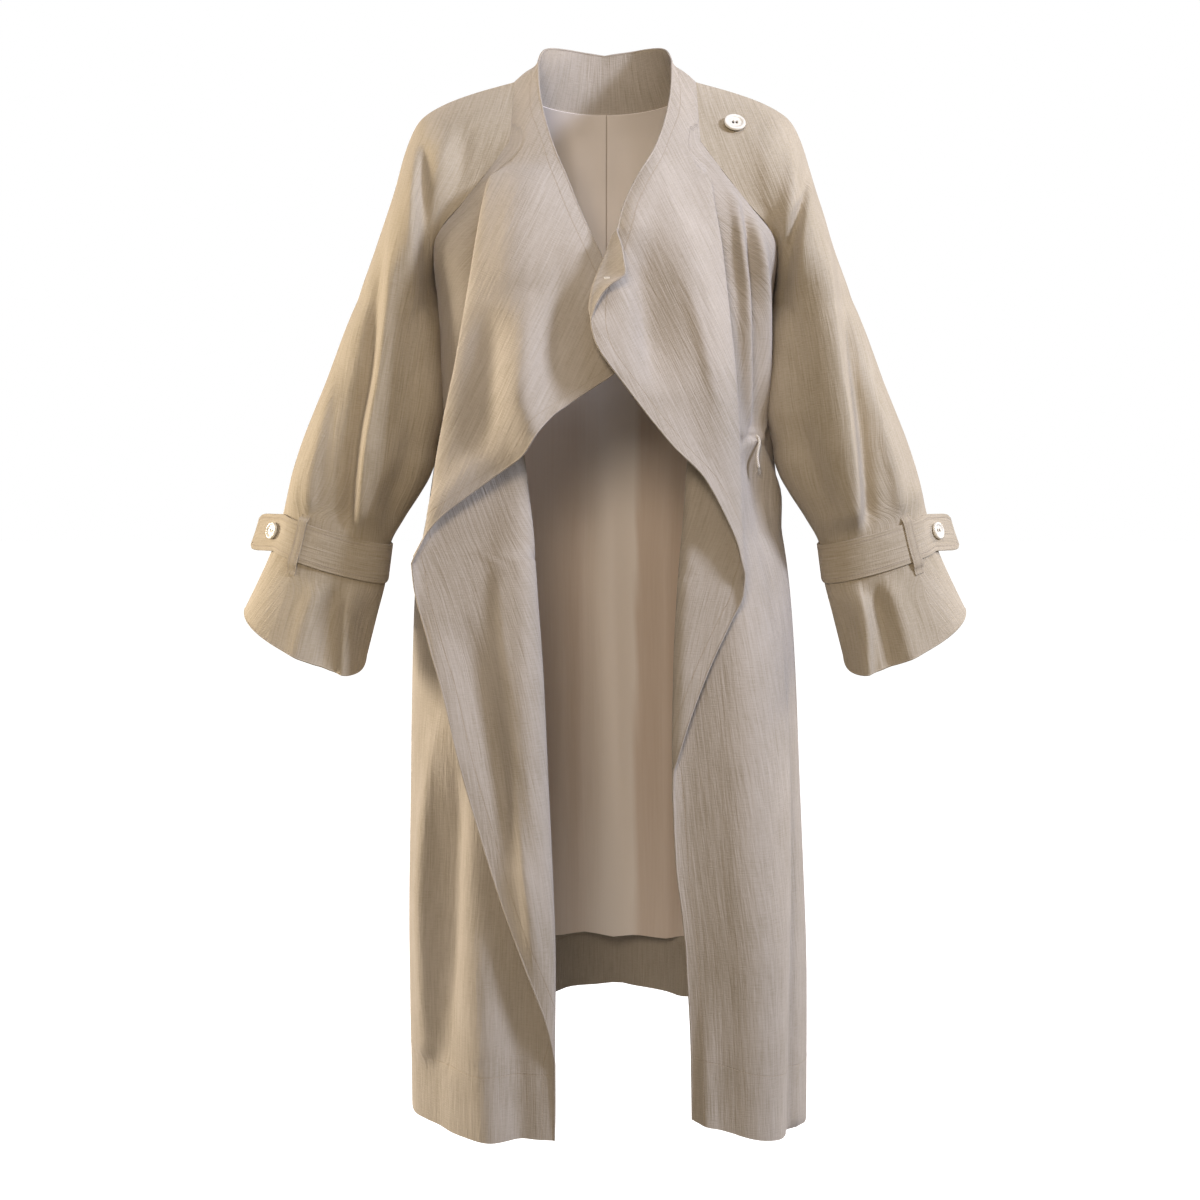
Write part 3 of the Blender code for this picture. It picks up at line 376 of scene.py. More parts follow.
def front_grid(left):
    """Lines of a front from the side of the neck to the hem: x, y, z, layer, distance from the seam."""
    across = np.linspace(0, 1, FRONT_COLUMNS)[:, None]
    top, low = neck_seam(1.0), np.array([*side_point(NECK_POINT_Z, left), NECK_POINT_Z])
    lines = []
    for part in np.linspace(0, 1, NECK_LINES)[:-1]:
        seam = top + (low - top) * part
        edge = np.array([smooth(NECK_EDGE["part"], NECK_EDGE[c], part) for c in "xyz"])
        bow = np.array([3 * (1 - part), 4 * part, 0])
        line = seam + (edge - seam) * across - bow * np.sin(math.pi * across)
        lines.append(np.hstack([line, 2 + across, across * np.linalg.norm(edge - seam)]))
    for z in FRONT_Z:
        x, y, layer, far = front_line(z, left).T
        low = np.clip((HEM_RISE_STARTS - z) / (HEM_RISE_STARTS - FRONT_Z[-1]), 0, 1)
        height = np.full(FRONT_COLUMNS, z)
        if left:
            share = across[:, 0]
            height += low * (HEM_RISE_LEFT * share ** 1.5 - HEM_DROP_LEFT * np.sin(math.pi * share ** 0.6))
        line = np.column_stack([x, y, height])
        straight = line[0] + (line[-1] - line[0]) * across - np.array([0, 4, 0]) * np.sin(math.pi * across)
        share = np.clip((NECK_POINT_Z - z) / 40, 0, 1)
        share = share * share * (3 - 2 * share)
        lines.append(np.column_stack([straight * (1 - share) + line * share, layer, far]))
    grid = np.array(lines)
    rows = np.arange(len(grid))
    underarm = np.argmin(np.abs(grid[:, 0, 2] - UNDERARM_Z))
    for middle, ease, reach in ((NECK_LINES, NECK_EASE, 2 * NECK_EASE),
                                (underarm, ARM_EASE, 1.6 * ARM_EASE)):
        spread = ease * np.exp(-((rows - middle) / reach) ** 2) + 0.05
        share = np.exp(-((rows - rows[:, None]) / spread[:, None]) ** 2)
        eased = np.einsum("ij,jkc->ikc", share / share.sum(1, keepdims=True), grid)
        inside = 1 if middle == NECK_LINES else np.clip(grid[..., 4:] / 20, 0, 1)
        grid = grid + (eased - grid) * inside
    corner = np.exp(-(((grid[..., :3] - [NECK_EDGE[c][0] for c in "xyz"]) / CORNER_REACH) ** 2).sum(2))
    grid[..., 2] -= CORNER_DROP * corner
    inward = unit(grid[:, 1, :3] - grid[:, 0, :3])
    grid[:, 0, :3] += np.where(grid[:, :1, 2] > UNDERARM_Z - 1, RAGLAN_INSET, -SIDE_OVERLAP) * inward
    return grid if left else grid * [-1, 1, 1, 1, 1]


def normals(grid, towards):
    """Unit normals of a grid, all on the side that mostly faces a given way."""
    n = unit(np.cross(np.gradient(grid, axis=0), np.gradient(grid, axis=1)))
    return n * np.sign((n * towards).sum())


def creased(grid, outward, creases, weight, layer=None):
    """Move a surface outwards by soft ridges, positive rise, and inwards by troughs, negative rise.

    A crease's rise falls off as a bell of the distance from its line, seen from the front, and is
    scaled by a weight that is zero along seams."""
    rise = np.zeros(grid.shape[:2])
    for x, z, height, left, right, *on in creases:
        line = smooth(np.linspace(0, 1, len(x)), np.column_stack([x, z, height]), np.linspace(0, 1, 40))
        way = np.gradient(line[:, :2], axis=0)
        pitch = np.linalg.norm(way, axis=1)
        way /= pitch[:, None]
        reach = np.ptp(line[:, 1]) / 2 + 80
        near = np.nonzero((np.abs(grid[:, :, 2] - line[:, 1].mean()) < reach).any(1))[0]
        rows = slice(near[0], near[-1] + 1)
        gap_x, gap_z = grid[rows, :, None, 0] - line[:, 0], grid[rows, :, None, 2] - line[:, 1]
        closest = (gap_x ** 2 + gap_z ** 2).argmin(2)
        gap_x, gap_z = (np.take_along_axis(g, closest[..., None], 2)[..., 0] for g in (gap_x, gap_z))
        along = gap_x * way[closest, 0] + gap_z * way[closest, 1]
        past = np.maximum(np.where(closest == 0, -along, np.where(closest == len(line) - 1, along, 0)), 0)
        beside = gap_z * way[closest, 0] - gap_x * way[closest, 1]
        fade = np.where(beside * np.sign(-way[closest, 1]) < 0, left, right)
        place = np.clip(closest + along / pitch[closest], 0, len(line) - 1)
        high = np.interp(place, np.arange(len(line)), line[:, 2])
        bell = high * np.exp(-(beside ** 2 + past ** 2) / fade ** 2)
        if layer is not None:
            low, high = on[0]
            bell *= np.clip((layer[rows] - low) / 0.1, 0, 1) * np.clip((high - layer[rows]) / 0.1, 0, 1)
            bell *= -1 if on[0] == REVERSE_LAYER else 1
        rise[rows] += bell
    return grid + outward * (rise * weight)[..., None]


def grid_quads(rows, columns, start=0):
    """Corner numbers of a grid's faces."""
    n = start + np.arange(rows * columns).reshape(rows, columns)
    return np.stack([n[:-1, :-1], n[:-1, 1:], n[1:, 1:], n[1:, :-1]], -1).reshape(-1, 4)


def shell(grid, outward, wall, thread, sewing):
    """Closed thin wall: the grid moved half a wall to both sides, with its rim closed."""
    rows, columns = grid.shape[:2]
    count = rows * columns
    facing = np.cross(np.gradient(grid, axis=0), np.gradient(grid, axis=1))
    flip = (facing * outward).sum() > 0
    quads = grid_quads(rows, columns)
    quads = quads[:, ::-1] if flip else quads
    n = np.arange(count).reshape(rows, columns)
    loop = np.concatenate([n[0, :-1], n[:-1, -1], n[-1, :0:-1], n[:0:-1, 0]])
    loop = loop[::-1] if flip else loop
    ahead = np.roll(loop, -1)
    rim = np.stack([ahead, loop, loop + count, ahead + count], -1)
    points = np.concatenate([(grid + outward * half).reshape(-1, 3) for half in (wall / 2, -wall / 2)])
    return (points, np.concatenate([quads, quads[:, ::-1] + count, rim]),
            np.tile(thread.reshape(-1, 3), (2, 1)), np.tile(sewing.reshape(-1, 3), (2, 1)))


def fan(ring):
    """Faces that close an even ring, all from its first point."""
    return np.stack([np.full(len(ring) // 2 - 1, ring[0]), ring[1:-1:2], ring[2::2], ring[3::2]], -1)


def tube(path, radius, sides):
    """Round profile carried along a path, closed at both ends; the radius may vary along it."""
    along = unit(np.gradient(path, axis=0))
    side = unit(np.cross(along, [0.31, 1.0, 0.12]))
    turn = np.linspace(0, 2 * math.pi, sides, endpoint=False)
    radius = np.broadcast_to(radius, len(path))[:, None, None]
    points = path[:, None] + radius * (np.cos(turn)[:, None] * side[:, None]
                                       + np.sin(turn)[:, None] * np.cross(along, side)[:, None])
    n = np.arange(len(path) * sides).reshape(len(path), sides)
    wrap = np.roll(n, -1, axis=1)
    quads = np.stack([n[:-1], wrap[:-1], wrap[1:], n[1:]], -1).reshape(-1, 4)
    thread = np.stack(np.broadcast_arrays(turn[None] * 2, travel(path)[:, None], 0.0), -1).reshape(-1, 3)
    return (points.reshape(-1, 3), np.concatenate([quads, fan(n[0][::-1]), fan(n[-1])]),
            thread, np.full((n.size, 3), NO_SEAM))


def stitch_row(path, out, pitch=3.4, length=2.5, thick=0.42):
    """Lock stitches: short threads at an even pitch along a path, each humped at its middle."""
    far = travel(path)
    middle = (np.arange(int(far[-1] / pitch)) + 0.5) * pitch
    start, centre, end = (np.column_stack([np.interp(middle + s * length, far, c) for c in path.T])
                          for s in (-0.5, 0.0, 0.5))
    up = unit(np.column_stack([np.interp(middle, far, c) for c in out.T]))
    side = unit(np.cross(end - start, up)) * thick / 2
    seats = [(place + up * WALL / 2, high) for place, high in ((start, 0.1), (centre, 0.75), (end, 0.1))]
    points = np.stack([np.stack([seat - side, seat + up * thick * high, seat + side, seat - up * 0.3], 1)
                       for seat, high in seats], 1)
    bar = [(s + k, s + (k + 1) % 4, s + 4 + (k + 1) % 4, s + 4 + k) for s in (0, 4) for k in range(4)]
    bar = np.array([*bar, (3, 2, 1, 0), (8, 9, 10, 11)])
    quads = (np.arange(len(middle))[:, None, None] * 12 + bar).reshape(-1, 4)
    blank = np.zeros((len(middle) * 12, 3))
    return points.reshape(-1, 3), quads, blank, blank + NO_SEAM


def on_rows(grid, far, at):
    """Points of each row at a distance along it."""
    at = np.broadcast_to(at, len(grid))
    i = np.clip((far < at[:, None]).sum(1) - 1, 0, far.shape[1] - 2)
    r = np.arange(len(grid))
    share = ((at - far[r, i]) / np.maximum(far[r, i + 1] - far[r, i], 1e-9))[:, None]
    return grid[r, i] * (1 - share) + grid[r, i + 1] * share


def lengths(grid):
    """Distance along each row, and the mean distance down the rows, in millimetres."""
    across = np.cumsum(np.linalg.norm(np.diff(grid, axis=1), axis=2), 1)
    down = np.append(0, np.cumsum(np.linalg.norm(np.diff(grid, axis=0), axis=2).mean(1)))
    return np.concatenate([np.zeros((len(grid), 1)), across], 1), down


def hem_row(grid, outward):
    """Line at the hem stitching's height above a grid's last row, and the outward way along it."""
    upward, out = (a.transpose(1, 0, 2)[:, ::-1] for a in (grid, outward))
    height = upward[..., 2] - upward[:, :1, 2]
    return on_rows(upward, height, HEM_STITCH), on_rows(out, height, HEM_STITCH)


def piece(name, parts, material, node=None):
    """One object from shells, tubes and stitches, with thread and sewing distances for its weave."""
    count = np.cumsum([0] + [len(p[0]) for p in parts])
    mesh = bpy.data.meshes.new(name)
    points = np.concatenate([p[0] for p in parts]) * 0.001
    mesh.from_pydata(points.tolist(), [], np.concatenate([p[1] + n for p, n in zip(parts, count)]).tolist())
    for attribute, column in (("thread_mm", 2), ("sewing_mm", 3)):
        values = np.concatenate([p[column] for p in parts]).astype(np.float32).ravel()
        mesh.attributes.new(attribute, "FLOAT_VECTOR", "POINT").data.foreach_set("vector", values)
    mesh.shade_smooth()
    mesh.set_sharp_from_angle(angle=math.radians(48))
    mesh.materials.append(material)
    made = bpy.data.objects.new(name, mesh)
    bpy.context.scene.collection.objects.link(made)
    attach(made, "root")
    if node:
        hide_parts(node)
    return made


def front_out(grid, layer):
    """Normals of a front, on the side that faces outwards where the cloth is the body layer."""
    out = normals(grid, [0, -1, 0])
    return out * -np.sign(out[layer < 0.8][:, 1].sum())


def flipped_corner(grid, outward):
    """The lapel's edge rolled forward through half a turn and laid back, with the front's rows it is on."""
    height = grid[:, -1, 2]
    rows = np.nonzero((height < FLIPPED["z"][-1]) & (height > FLIPPED["z"][0]))[0]
    rows = np.arange(rows[0] - 1, rows[-1] + 2)
    width = smooth(FLIPPED["z"], FLIPPED["width"], height[rows])[:, None, None]
    ends, front = grid[rows, -1:], outward[rows, -1:]
    along = unit(ends - grid[rows, -3:-2])
    radius = np.minimum(FLIP_RADIUS, width / 2 + 0.05)
    turn = np.linspace(0, math.pi, FLIP_TURNS)[None, :, None]
    bend = ends + along * radius * np.sin(turn) + front * radius * (1 - np.cos(turn))
    reach = np.linspace(0, 1, 20)[None, 1:, None]
    lift = FLIP_LIFT * reach ** 1.5 * np.minimum(width / 20, 1)
    return np.concatenate([bend, ends + front * (2 * radius + lift) - along * width * reach], 1), rows


def tack_stitches(flap, outward):
    """Slanting stitches side by side on the flap, each humped in the middle and sunk at its ends."""
    gap = np.hypot(flap[:, FLIP_TURNS:, 0] - TACK["x"], flap[:, FLIP_TURNS:, 2] - TACK["z"])
    row, column = np.unravel_index(gap.argmin(), gap.shape)
    seat, up = flap[row, column + FLIP_TURNS], outward[row, column + FLIP_TURNS]
    along = unit(np.cross(up, [0.0, 0.0, 1.0]))
    slant = (np.cross(along, up) + 0.35 * along) * TACK["length"] / 2
    steps = (np.arange(TACK["stitches"]) - TACK["stitches"] / 2) * TACK["pitch"]
    bow = np.linspace(-1, 1, 7)[:, None]
    return [tube(seat + up * (WALL / 2 + 0.25 - 0.5 * bow ** 4) + along * step + bow * slant, 0.3, 6)
            for step in steps]


def crinkled_linen(name, light, middle, dark):
    """Woven flax, washed so that it crinkles lengthwise: matt, with thick and thin threads both ways.

    Warp and weft are drawn 1.1 mm apart, twice the real spacing, so that they show."""
    made, tree, shader = new_material(name)
    thread = add_node(tree, "ShaderNodeAttribute", attribute_name="thread_mm").outputs["Vector"]
    sewing = add_node(tree, "ShaderNodeAttribute", attribute_name="sewing_mm").outputs["Vector"]
    sizes = {"crinkle": (3.8, 55, 3.0), "warp": (1.1, 34, 2.0), "weft": (9, 1.1, 2.0),
             "slub": (1.8, 60, 1.0), "mottle": (70, 110, 2.0)}
    noise = {}
    for pattern, (across, along, detail) in sizes.items():
        mapped = add_node(tree, "ShaderNodeMapping", {"Vector": thread, "Scale": (1 / across, 1 / along, 1)})
        noise[pattern] = add_node(tree, "ShaderNodeTexNoise", {"Vector": mapped.outputs[0], "Scale": 1.0,
                                                               "Detail": detail, "Roughness": 0.6}).outputs[0]
    weave = add_node(tree, "ShaderNodeMath", {0: noise["warp"], 1: noise["weft"]}, operation="ADD").outputs[0]
    tone = weave
    for pattern in ("slub", "mottle"):
        tone = add_node(tree, "ShaderNodeMath", {0: tone, 1: noise[pattern]}, operation="ADD").outputs[0]
    tone = add_node(tree, "ShaderNodeMapRange",
                    {"Value": tone, "From Min": 1.55, "From Max": 2.45}).outputs[0]
    ramp = add_node(tree, "ShaderNodeValToRGB", {"Fac": tone})
    ramp.color_ramp.elements[0].color, ramp.color_ramp.elements[1].color = linear(dark), linear(light)
    ramp.color_ramp.elements.new(0.5).color = linear(middle)
    lines = add_node(tree, "ShaderNodeSeparateXYZ", {0: sewing}).outputs
    away = [add_node(tree, "ShaderNodeMath", {0: line}, operation="ABSOLUTE").outputs[0]
            for line in lines[:2]]
    nearest = add_node(tree, "ShaderNodeMath", {0: away[0], 1: away[1]}, operation="MINIMUM").outputs[0]
    groove = add_node(tree, "ShaderNodeMapRange", {"Value": nearest, "From Max": 1.0},
                      interpolation_type="SMOOTHSTEP").outputs[0]
    # Within a millimetre of a stitching line the cloth is mixed to #A79A88. This is painted shade in the
    # stitch groove, beside a real bump.
    shade = add_node(tree, "ShaderNodeMix", {0: groove, 6: linear("#A79A88"), 7: ramp.outputs["Color"]},
                     data_type="RGBA").outputs[2]
    bump = None
    for height, distance, strength in ((groove, 0.0006, 0.35), (noise["crinkle"], 0.0027, 0.42),
                                       (weave, 0.0006, 0.55)):
        inputs = {"Height": height, "Distance": distance, "Strength": strength}
        bump = add_node(tree, "ShaderNodeBump", {**inputs, **({"Normal": bump} if bump else {})}).outputs[0]
    set_inputs(tree, shader, {"Base Color": shade, "Normal": bump, "Roughness": 0.86,
                              "Specular IOR Level": 0.25, "Sheen Weight": 0.22, "Sheen Roughness": 0.45,
                              "Sheen Tint": linear("#E9E6F4")})
    return made


def sewing_thread(name, colour):
    """Spun polyester thread: a twisted strand with a slight gloss."""
    made, tree, shader = new_material(name)
    place = add_node(tree, "ShaderNodeTexCoord").outputs["Object"]
    ply = add_node(tree, "ShaderNodeTexNoise", {"Vector": place, "Scale": 1800.0, "Detail": 1.0}).outputs[0]
    ramp = add_node(tree, "ShaderNodeValToRGB", {"Fac": ply})
    ramp.color_ramp.elements[0].color = tuple(0.78 * c for c in linear(colour)[:3]) + (1.0,)
    ramp.color_ramp.elements[1].color = linear(colour)
    set_inputs(tree, shader, {"Base Color": ramp.outputs["Color"], "Roughness": 0.6})
    return made


LINEN = crinkled_linen("crinkled_linen", LINEN_LIGHT, LINEN_MIDDLE, LINEN_DARK)
THREAD = sewing_thread("linen_coloured_thread", "#B9AD9E")
for side, left, creases in (("right", False, CREASES_RIGHT), ("left", True, CREASES_LEFT)):
    lines = front_grid(left)
    grid, layer, far = lines[..., :3], lines[..., 3], lines[..., 4]
    creases = [(*crease, on) for on, group in creases.items() for crease in group]
    grid = creased(grid, front_out(grid, layer), creases, np.clip(far / SEAM_FADE, 0, 1) ** 2, layer)
    outward = front_out(grid, layer)
    lean = math.radians(LAPEL_LEAN)
    out_x, down = grid[..., 0] * (1 if left else -1), -grid[..., 2]
    on_lapel = np.stack([out_x * math.cos(lean) - down * math.sin(lean) + 1000,
                         out_x * math.sin(lean) + down * math.cos(lean), 0 * far], -1)
    thread = np.where((layer > 2)[..., None], on_lapel, np.stack([far, down, 0 * far], -1))
    hem = grid[..., 2] - grid[-1, :, 2]
    sewing = np.stack([far[:, -1:] - far - EDGE_STITCH, hem - HEM_STITCH, np.full_like(far, NO_SEAM)], -1)
    edge_path = grid[:, -1]
    parts = [shell(grid, outward, WALL, thread, sewing)]
    if left:
        flap, rows = flipped_corner(grid, outward)
        flap_far, flap_out = lengths(flap)[0], normals(flap, [0, -1, 0])
        flap_thread = np.stack([far[rows, -1:] + flap_far, -flap[..., 2], 0 * flap_far], -1)
        parts.append(shell(flap, flap_out, WALL, flap_thread, np.full_like(flap, NO_SEAM)))
        edge_path = np.concatenate([edge_path[:rows[0]], flap[:, -1], edge_path[rows[-1] + 1:]])
        bar_tack = piece("bar_tack_lapel_corner", tack_stitches(flap, flap_out),
                         sewing_thread("white_thread", "#EFEBE2"))
    parts.append(tube(edge_path, EDGE_ROLL, 8))
    edge_row = [on_rows(a, far, far[:, -1] - EDGE_STITCH)[2:-2] for a in (grid, outward)]
    stitches = [stitch_row(line, out * face) for line, out in (edge_row, hem_row(grid, outward))
                for face in (1, -1)]
    stitching = piece("stitching_front_" + side, stitches, THREAD)
    made = piece("linen_front_" + side, parts, LINEN, "front_" + side)

# Drawstring: a cotton cord that runs in a channel at the waist and draws the cloth up. Its end
# comes out of the left front, hangs a few centimetres and has frayed.
CORD = {"down": (0, 2, 6, 11, 17, 23, 29, 34), "out": (0.4, 3.6, 5.6, 5.8, 5.0, 4.6, 4.8, 5.4),
        "along": (0, 0.5, 1.5, 3.0, 4.5, 5.5, 5.0, 4.0)}
CORD_Z, CORD_DIAMETER, CORD_SHARE = -376, 3.2, 0.46
FRAY_COUNT, FRAY_LENGTH, FRAY_TURN = 16, 9.0, 2.4


def cord_route():
    """Route out of the body layer and down in front of it: each point stands off the level line there."""
    route = []
    for down, out, along in zip(CORD["down"], CORD["out"], CORD["along"]):
        x, y, layer, far = front_line(CORD_Z - down, True).T
        at = CORD_SHARE * np.interp(1.0, layer, far) + along
        here, ahead = (np.array([np.interp(s, far, x), np.interp(s, far, y)]) for s in (at, at + 2))
        way = unit(np.array([(ahead - here)[1], -(ahead - here)[0]]))
        way *= -1 if way[1] > 0 else 1
        route.append([*(here + way * (WALL / 2 + CORD_DIAMETER / 2 + out)), CORD_Z - down])
    return spline(route)[::4]


def cotton_cord(name, colour):
    """Loosely twisted cotton: matt, with slanting strands 1.2 mm wide."""
    made, tree, shader = new_material(name)
    thread = add_node(tree, "ShaderNodeAttribute", attribute_name="thread_mm").outputs["Vector"]
    strand = add_node(tree, "ShaderNodeTexWave", {"Vector": thread, "Scale": 0.26, "Distortion": 1.2,
                                                  "Detail": 2.0}, bands_direction="DIAGONAL").outputs["Fac"]
    ramp = add_node(tree, "ShaderNodeValToRGB", {"Fac": strand})
    # The ramp's dark end, #CDC3B2, falls in the grooves between the strands. This is painted shade, beside a
    # real bump.
    ramp.color_ramp.elements[0].color = linear("#CDC3B2")
    ramp.color_ramp.elements[1].color = linear(colour)
    bump = add_node(tree, "ShaderNodeBump",
                    {"Height": strand, "Distance": 0.0006, "Strength": 0.8}).outputs[0]
    set_inputs(tree, shader, {"Base Color": ramp.outputs["Color"], "Normal": bump, "Roughness": 0.9})
    return made


COTTON = cotton_cord("twisted_cotton_cord", "#F2EDE3")
route = cord_route()
cord = piece("cotton_drawstring", [tube(route, CORD_DIAMETER / 2, 16)], COTTON, "drawstring")
frayed = []
for number in range(FRAY_COUNT):
    turn = number * FRAY_TURN
    lean = np.array([math.cos(turn), 0.5 * math.sin(turn), 0.0]) * (0.25 + 0.05 * (number % 5))
    reach = np.linspace(0, 1, 6)[:, None] * FRAY_LENGTH * (0.55 + 0.09 * (number % 6))
    root = route[-1] + np.array([math.cos(turn), math.sin(turn), 0.0]) * 1.0
    frayed.append(tube(root + reach * [0, 0, -1] + reach ** 1.5 * 0.3 * lean, np.linspace(0.26, 0.1, 6), 4))
fray = piece("frayed_cord_tip", frayed, COTTON)

# Collar: a standing strip of the same linen round the back of the neck, seamed to both fronts at
# the shoulders, with its top edge turned and pressed.
COLLAR_ROWS, COLLAR_COLUMNS = 110, 26
COLLAR = {"half_width": 73, "back_y": 77, "side_y": 6, "back_z": 45, "side_z": 41, "arch": 6, "roll": 3}
COLLAR_CREASES = [
    ((-30, -26), (-20, 50), (-1.5, -1.0), 12, 9),
    ((34, 30), (-20, 50), (-1.2, -1.6), 10, 14),
    ((4, 8), (-24, 50), (1.0, 1.2), 9, 9)]


def collar_grid(rows, columns):
    """Ruled strip from the neck seam up to the collar's edge, both half ellipses, bowed between them."""
    part = np.linspace(-1, 1, rows)[:, None]
    turn = np.abs(part) * math.pi / 2
    edge = np.stack([COLLAR["half_width"] * np.sin(turn),
                     COLLAR["side_y"] + (COLLAR["back_y"] - COLLAR["side_y"]) * np.cos(turn),
                     COLLAR["side_z"] + (COLLAR["back_z"] - COLLAR["side_z"]) * np.cos(turn)
                     + COLLAR["arch"] * np.sin(2 * turn)], -1)
    seam = neck_seam(np.abs(part))
    across = np.linspace(0, 1, columns)[None, :, None]
    out = np.stack([np.sin(turn), np.cos(turn), 0 * turn], -1)
    grid = seam + (edge - seam) * across - out * COLLAR["roll"] * np.sin(math.pi * across)
    corner = np.exp(-(((grid - [NECK_EDGE[c][0] for c in "xyz"]) / CORNER_REACH) ** 2).sum(2))
    grid[..., 2] -= CORNER_DROP * corner
    return grid * np.stack([np.sign(part), np.ones_like(part), np.ones_like(part)], -1)


grid = collar_grid(COLLAR_ROWS, COLLAR_COLUMNS)
outward = normals(grid, [0, 1, 0])
grid = creased(grid, -outward, COLLAR_CREASES, np.linspace(0, 1, COLLAR_COLUMNS))
far, down = lengths(grid)
thread = np.stack(np.broadcast_arrays(down[:, None], far, 0.0), -1)
made = piece("linen_collar", [shell(grid, outward, WALL, thread, np.full_like(grid, NO_SEAM)),
                              tube(grid[:, -1], EDGE_ROLL, 8)], LINEN, "collar")

# Back: one flared linen panel from the neck and raglan seams to the hem, in soft flutes below the
# waist. Its hem is turned up wide, and the turned-up band shows inside below the lining.
BACK_COLUMNS, BACK_ROWS = 112, 200
BACK_SHARE_OF_NECK, NECK_INSET = 0.6, 1.6
RAGLAN_BACK_Z = (-8, -38, -70, -104, -138, -172, -206, -240)
BACK_Z = RAGLAN_BACK_Z + (-262, -288, -320, -352, -384, -414, -436, -460, -485, -506, -528, -565, -620,
                          -680, -730, -795, -870, -950, -1010, -1055, -1100, -1146)
RAGLAN_BACK = {"z": (-240, -180, -140, -97, -50, -8),
               "x": (180, 184, 166, 138, 108, 80),
               "y": (8, 58, 80, 86, 72, 45)}
BACK = {"z": (-1146, -1020, -900, -750, -600, -526, -450, -376, -260, -200, -130, -60, -8),
        "y": (246, 222, 200, 172, 145, 130, 116, 106, 120, 120, 114, 97, 80),
        "square": (2.8, 2.8, 2.7, 2.6, 2.4, 2.3, 2.2, 2.2, 2.2, 2.2, 2.1, 2.0, 2.0)}
FLUTES_BACK = {"z": (-1146, -800, -520, -384, -300, -240), "depth": (11, 8, 4, 4, 1, 0)}
FLUTES_ACROSS_BACK = 5
HEM_RISE_BACK = 30
CREASES_BACK = [
    ((-70, -84, -96), (-60, -160, -280), (0, 4, 0), 20, 16),
    ((64, 80, 100), (-60, -170, -300), (0, 4, 0), 16, 22),
    ((-140, -120, -90), (-210, -290, -370), (0, 5, 0), 12, 14),
    ((146, 122, 96), (-210, -300, -376), (0, 5, 0), 14, 12),
    ((-120, -128, -146), (-400, -700, -1146), (0, 5, 7), 16, 22),
    ((-60, -58, -70), (-420, -760, -1146), (0, -4, -7), 18, 14),
    ((20, 24, 18), (-440, -800, -1146), (0, 4, 6), 22, 15),
    ((88, 98, 104), (-400, -720, -1146), (0, -5, -7), 14, 20),
    ((150, 160, 176), (-400, -760, -1146), (0, 5, 6), 15, 14),
    ((120, 150, 192), (-376, -376, -376), (0, -3, -3), 6, 6)]
CREASES_BACK += [
    ((x - 4, x, x + 4), (-336, -376, -376 - drop), (0, high, 0), 4, 4)
    for x, drop, high in ((128, 46, 2.5), (140, 70, 3.5), (151, 52, 4), (161, 80, 4),
                          (171, 56, 4), (180, 72, 3.5))]


def back_grid(columns, fluted):
    """Lines round the back: half a squared-off oval from side to side, flutes as a cosine wave, and
    near the top eased into the curve of the neck seam."""
    across = np.linspace(-1, 1, columns)
    share, turn = np.abs(across), across * math.pi / 2
    lines = []
    for number, z in enumerate(BACK_Z):
        if z >= UNDERARM_Z:
            right = left = np.array([read(RAGLAN_BACK, "x", z), read(RAGLAN_BACK, "y", z)])
            flat = 1 - 0.5 * (number / (len(RAGLAN_BACK_Z) - 1)) ** 3
            swing, rise = np.abs(np.sin(turn)), np.cos(turn) ** (2 * flat)
        else:
            right, left = side_point(z, False), side_point(z, True)
            power = 2 / read(BACK, "square", z)
            swing, rise = np.abs(np.sin(turn)) ** power, np.abs(np.cos(turn)) ** power
        ends = np.where((across < 0)[:, None], right, left)
        wave = np.cos(math.pi * FLUTES_ACROSS_BACK * across) * np.abs(np.cos(turn)) ** 0.7
        middle_y, depth = read(BACK, "y", z), fluted * read(FLUTES_BACK, "depth", z)
        y = ends[:, 1] + (middle_y - ends[:, 1]) * rise + depth * wave
        low = np.clip((HEM_RISE_STARTS - z) / (HEM_RISE_STARTS - BACK_Z[-1]), 0, 1)
        line = np.column_stack([np.sign(turn) * ends[:, 0] * swing, y,
                                z + HEM_RISE_BACK * low * (1 - share ** 2)])
        neck = neck_seam(share * BACK_SHARE_OF_NECK)
        neck[:, 0] *= np.sign(across) * np.abs(line[0, 0]) / neck[0, 0]
        neck[:, 1] += (line[0, 1] - neck[0, 1]) * share + (middle_y - NECK["back_y"]) * (1 - share ** 2)
        neck[:, 2] += line[0, 2] - neck[0, 2]
        ease = max(0.0, 1 - number / 4)
        lines.append(line * (1 - ease) + neck * ease)
    return np.array(lines)


def refine(grid, rows, columns=slice(None)):
    """Finer rows through a grid's rows, by the cubic above over the mean distance along some columns."""
    far = np.append(0, np.cumsum(np.linalg.norm(np.diff(grid[:, columns], axis=0), axis=2).mean(1)))
    return smooth(far, grid, np.linspace(0, far[-1], rows))


back = back_grid(BACK_COLUMNS, True)
back[0] += NECK_INSET * unit(back[1] - back[0])
back = refine(back, BACK_ROWS)
far = lengths(back)[0]
weight = np.clip(np.minimum(far, far[:, -1:] - far) / SEAM_FADE, 0, 1) ** 2
back = creased(back, normals(back, [0, 1, 0]), CREASES_BACK, weight)
outward = normals(back, [0, 1, 0])
far, down = lengths(back)
thread = np.stack(np.broadcast_arrays(far - far[:, -1:] / 2, down[:, None], 0.0), -1)
hem = back[..., 2] - back[-1, :, 2]
sewing = np.stack([hem - HEM_STITCH, np.full_like(far, NO_SEAM), np.full_like(far, NO_SEAM)], -1)
hem_line, hem_out = hem_row(back, outward)
stitching = piece("stitching_back", [stitch_row(hem_line, hem_out), stitch_row(hem_line, -hem_out)],
                  THREAD)
made = piece("linen_back", [shell(back, outward, WALL, thread, sewing), tube(back[-1], 1.0, 8)],
             LINEN, "back")
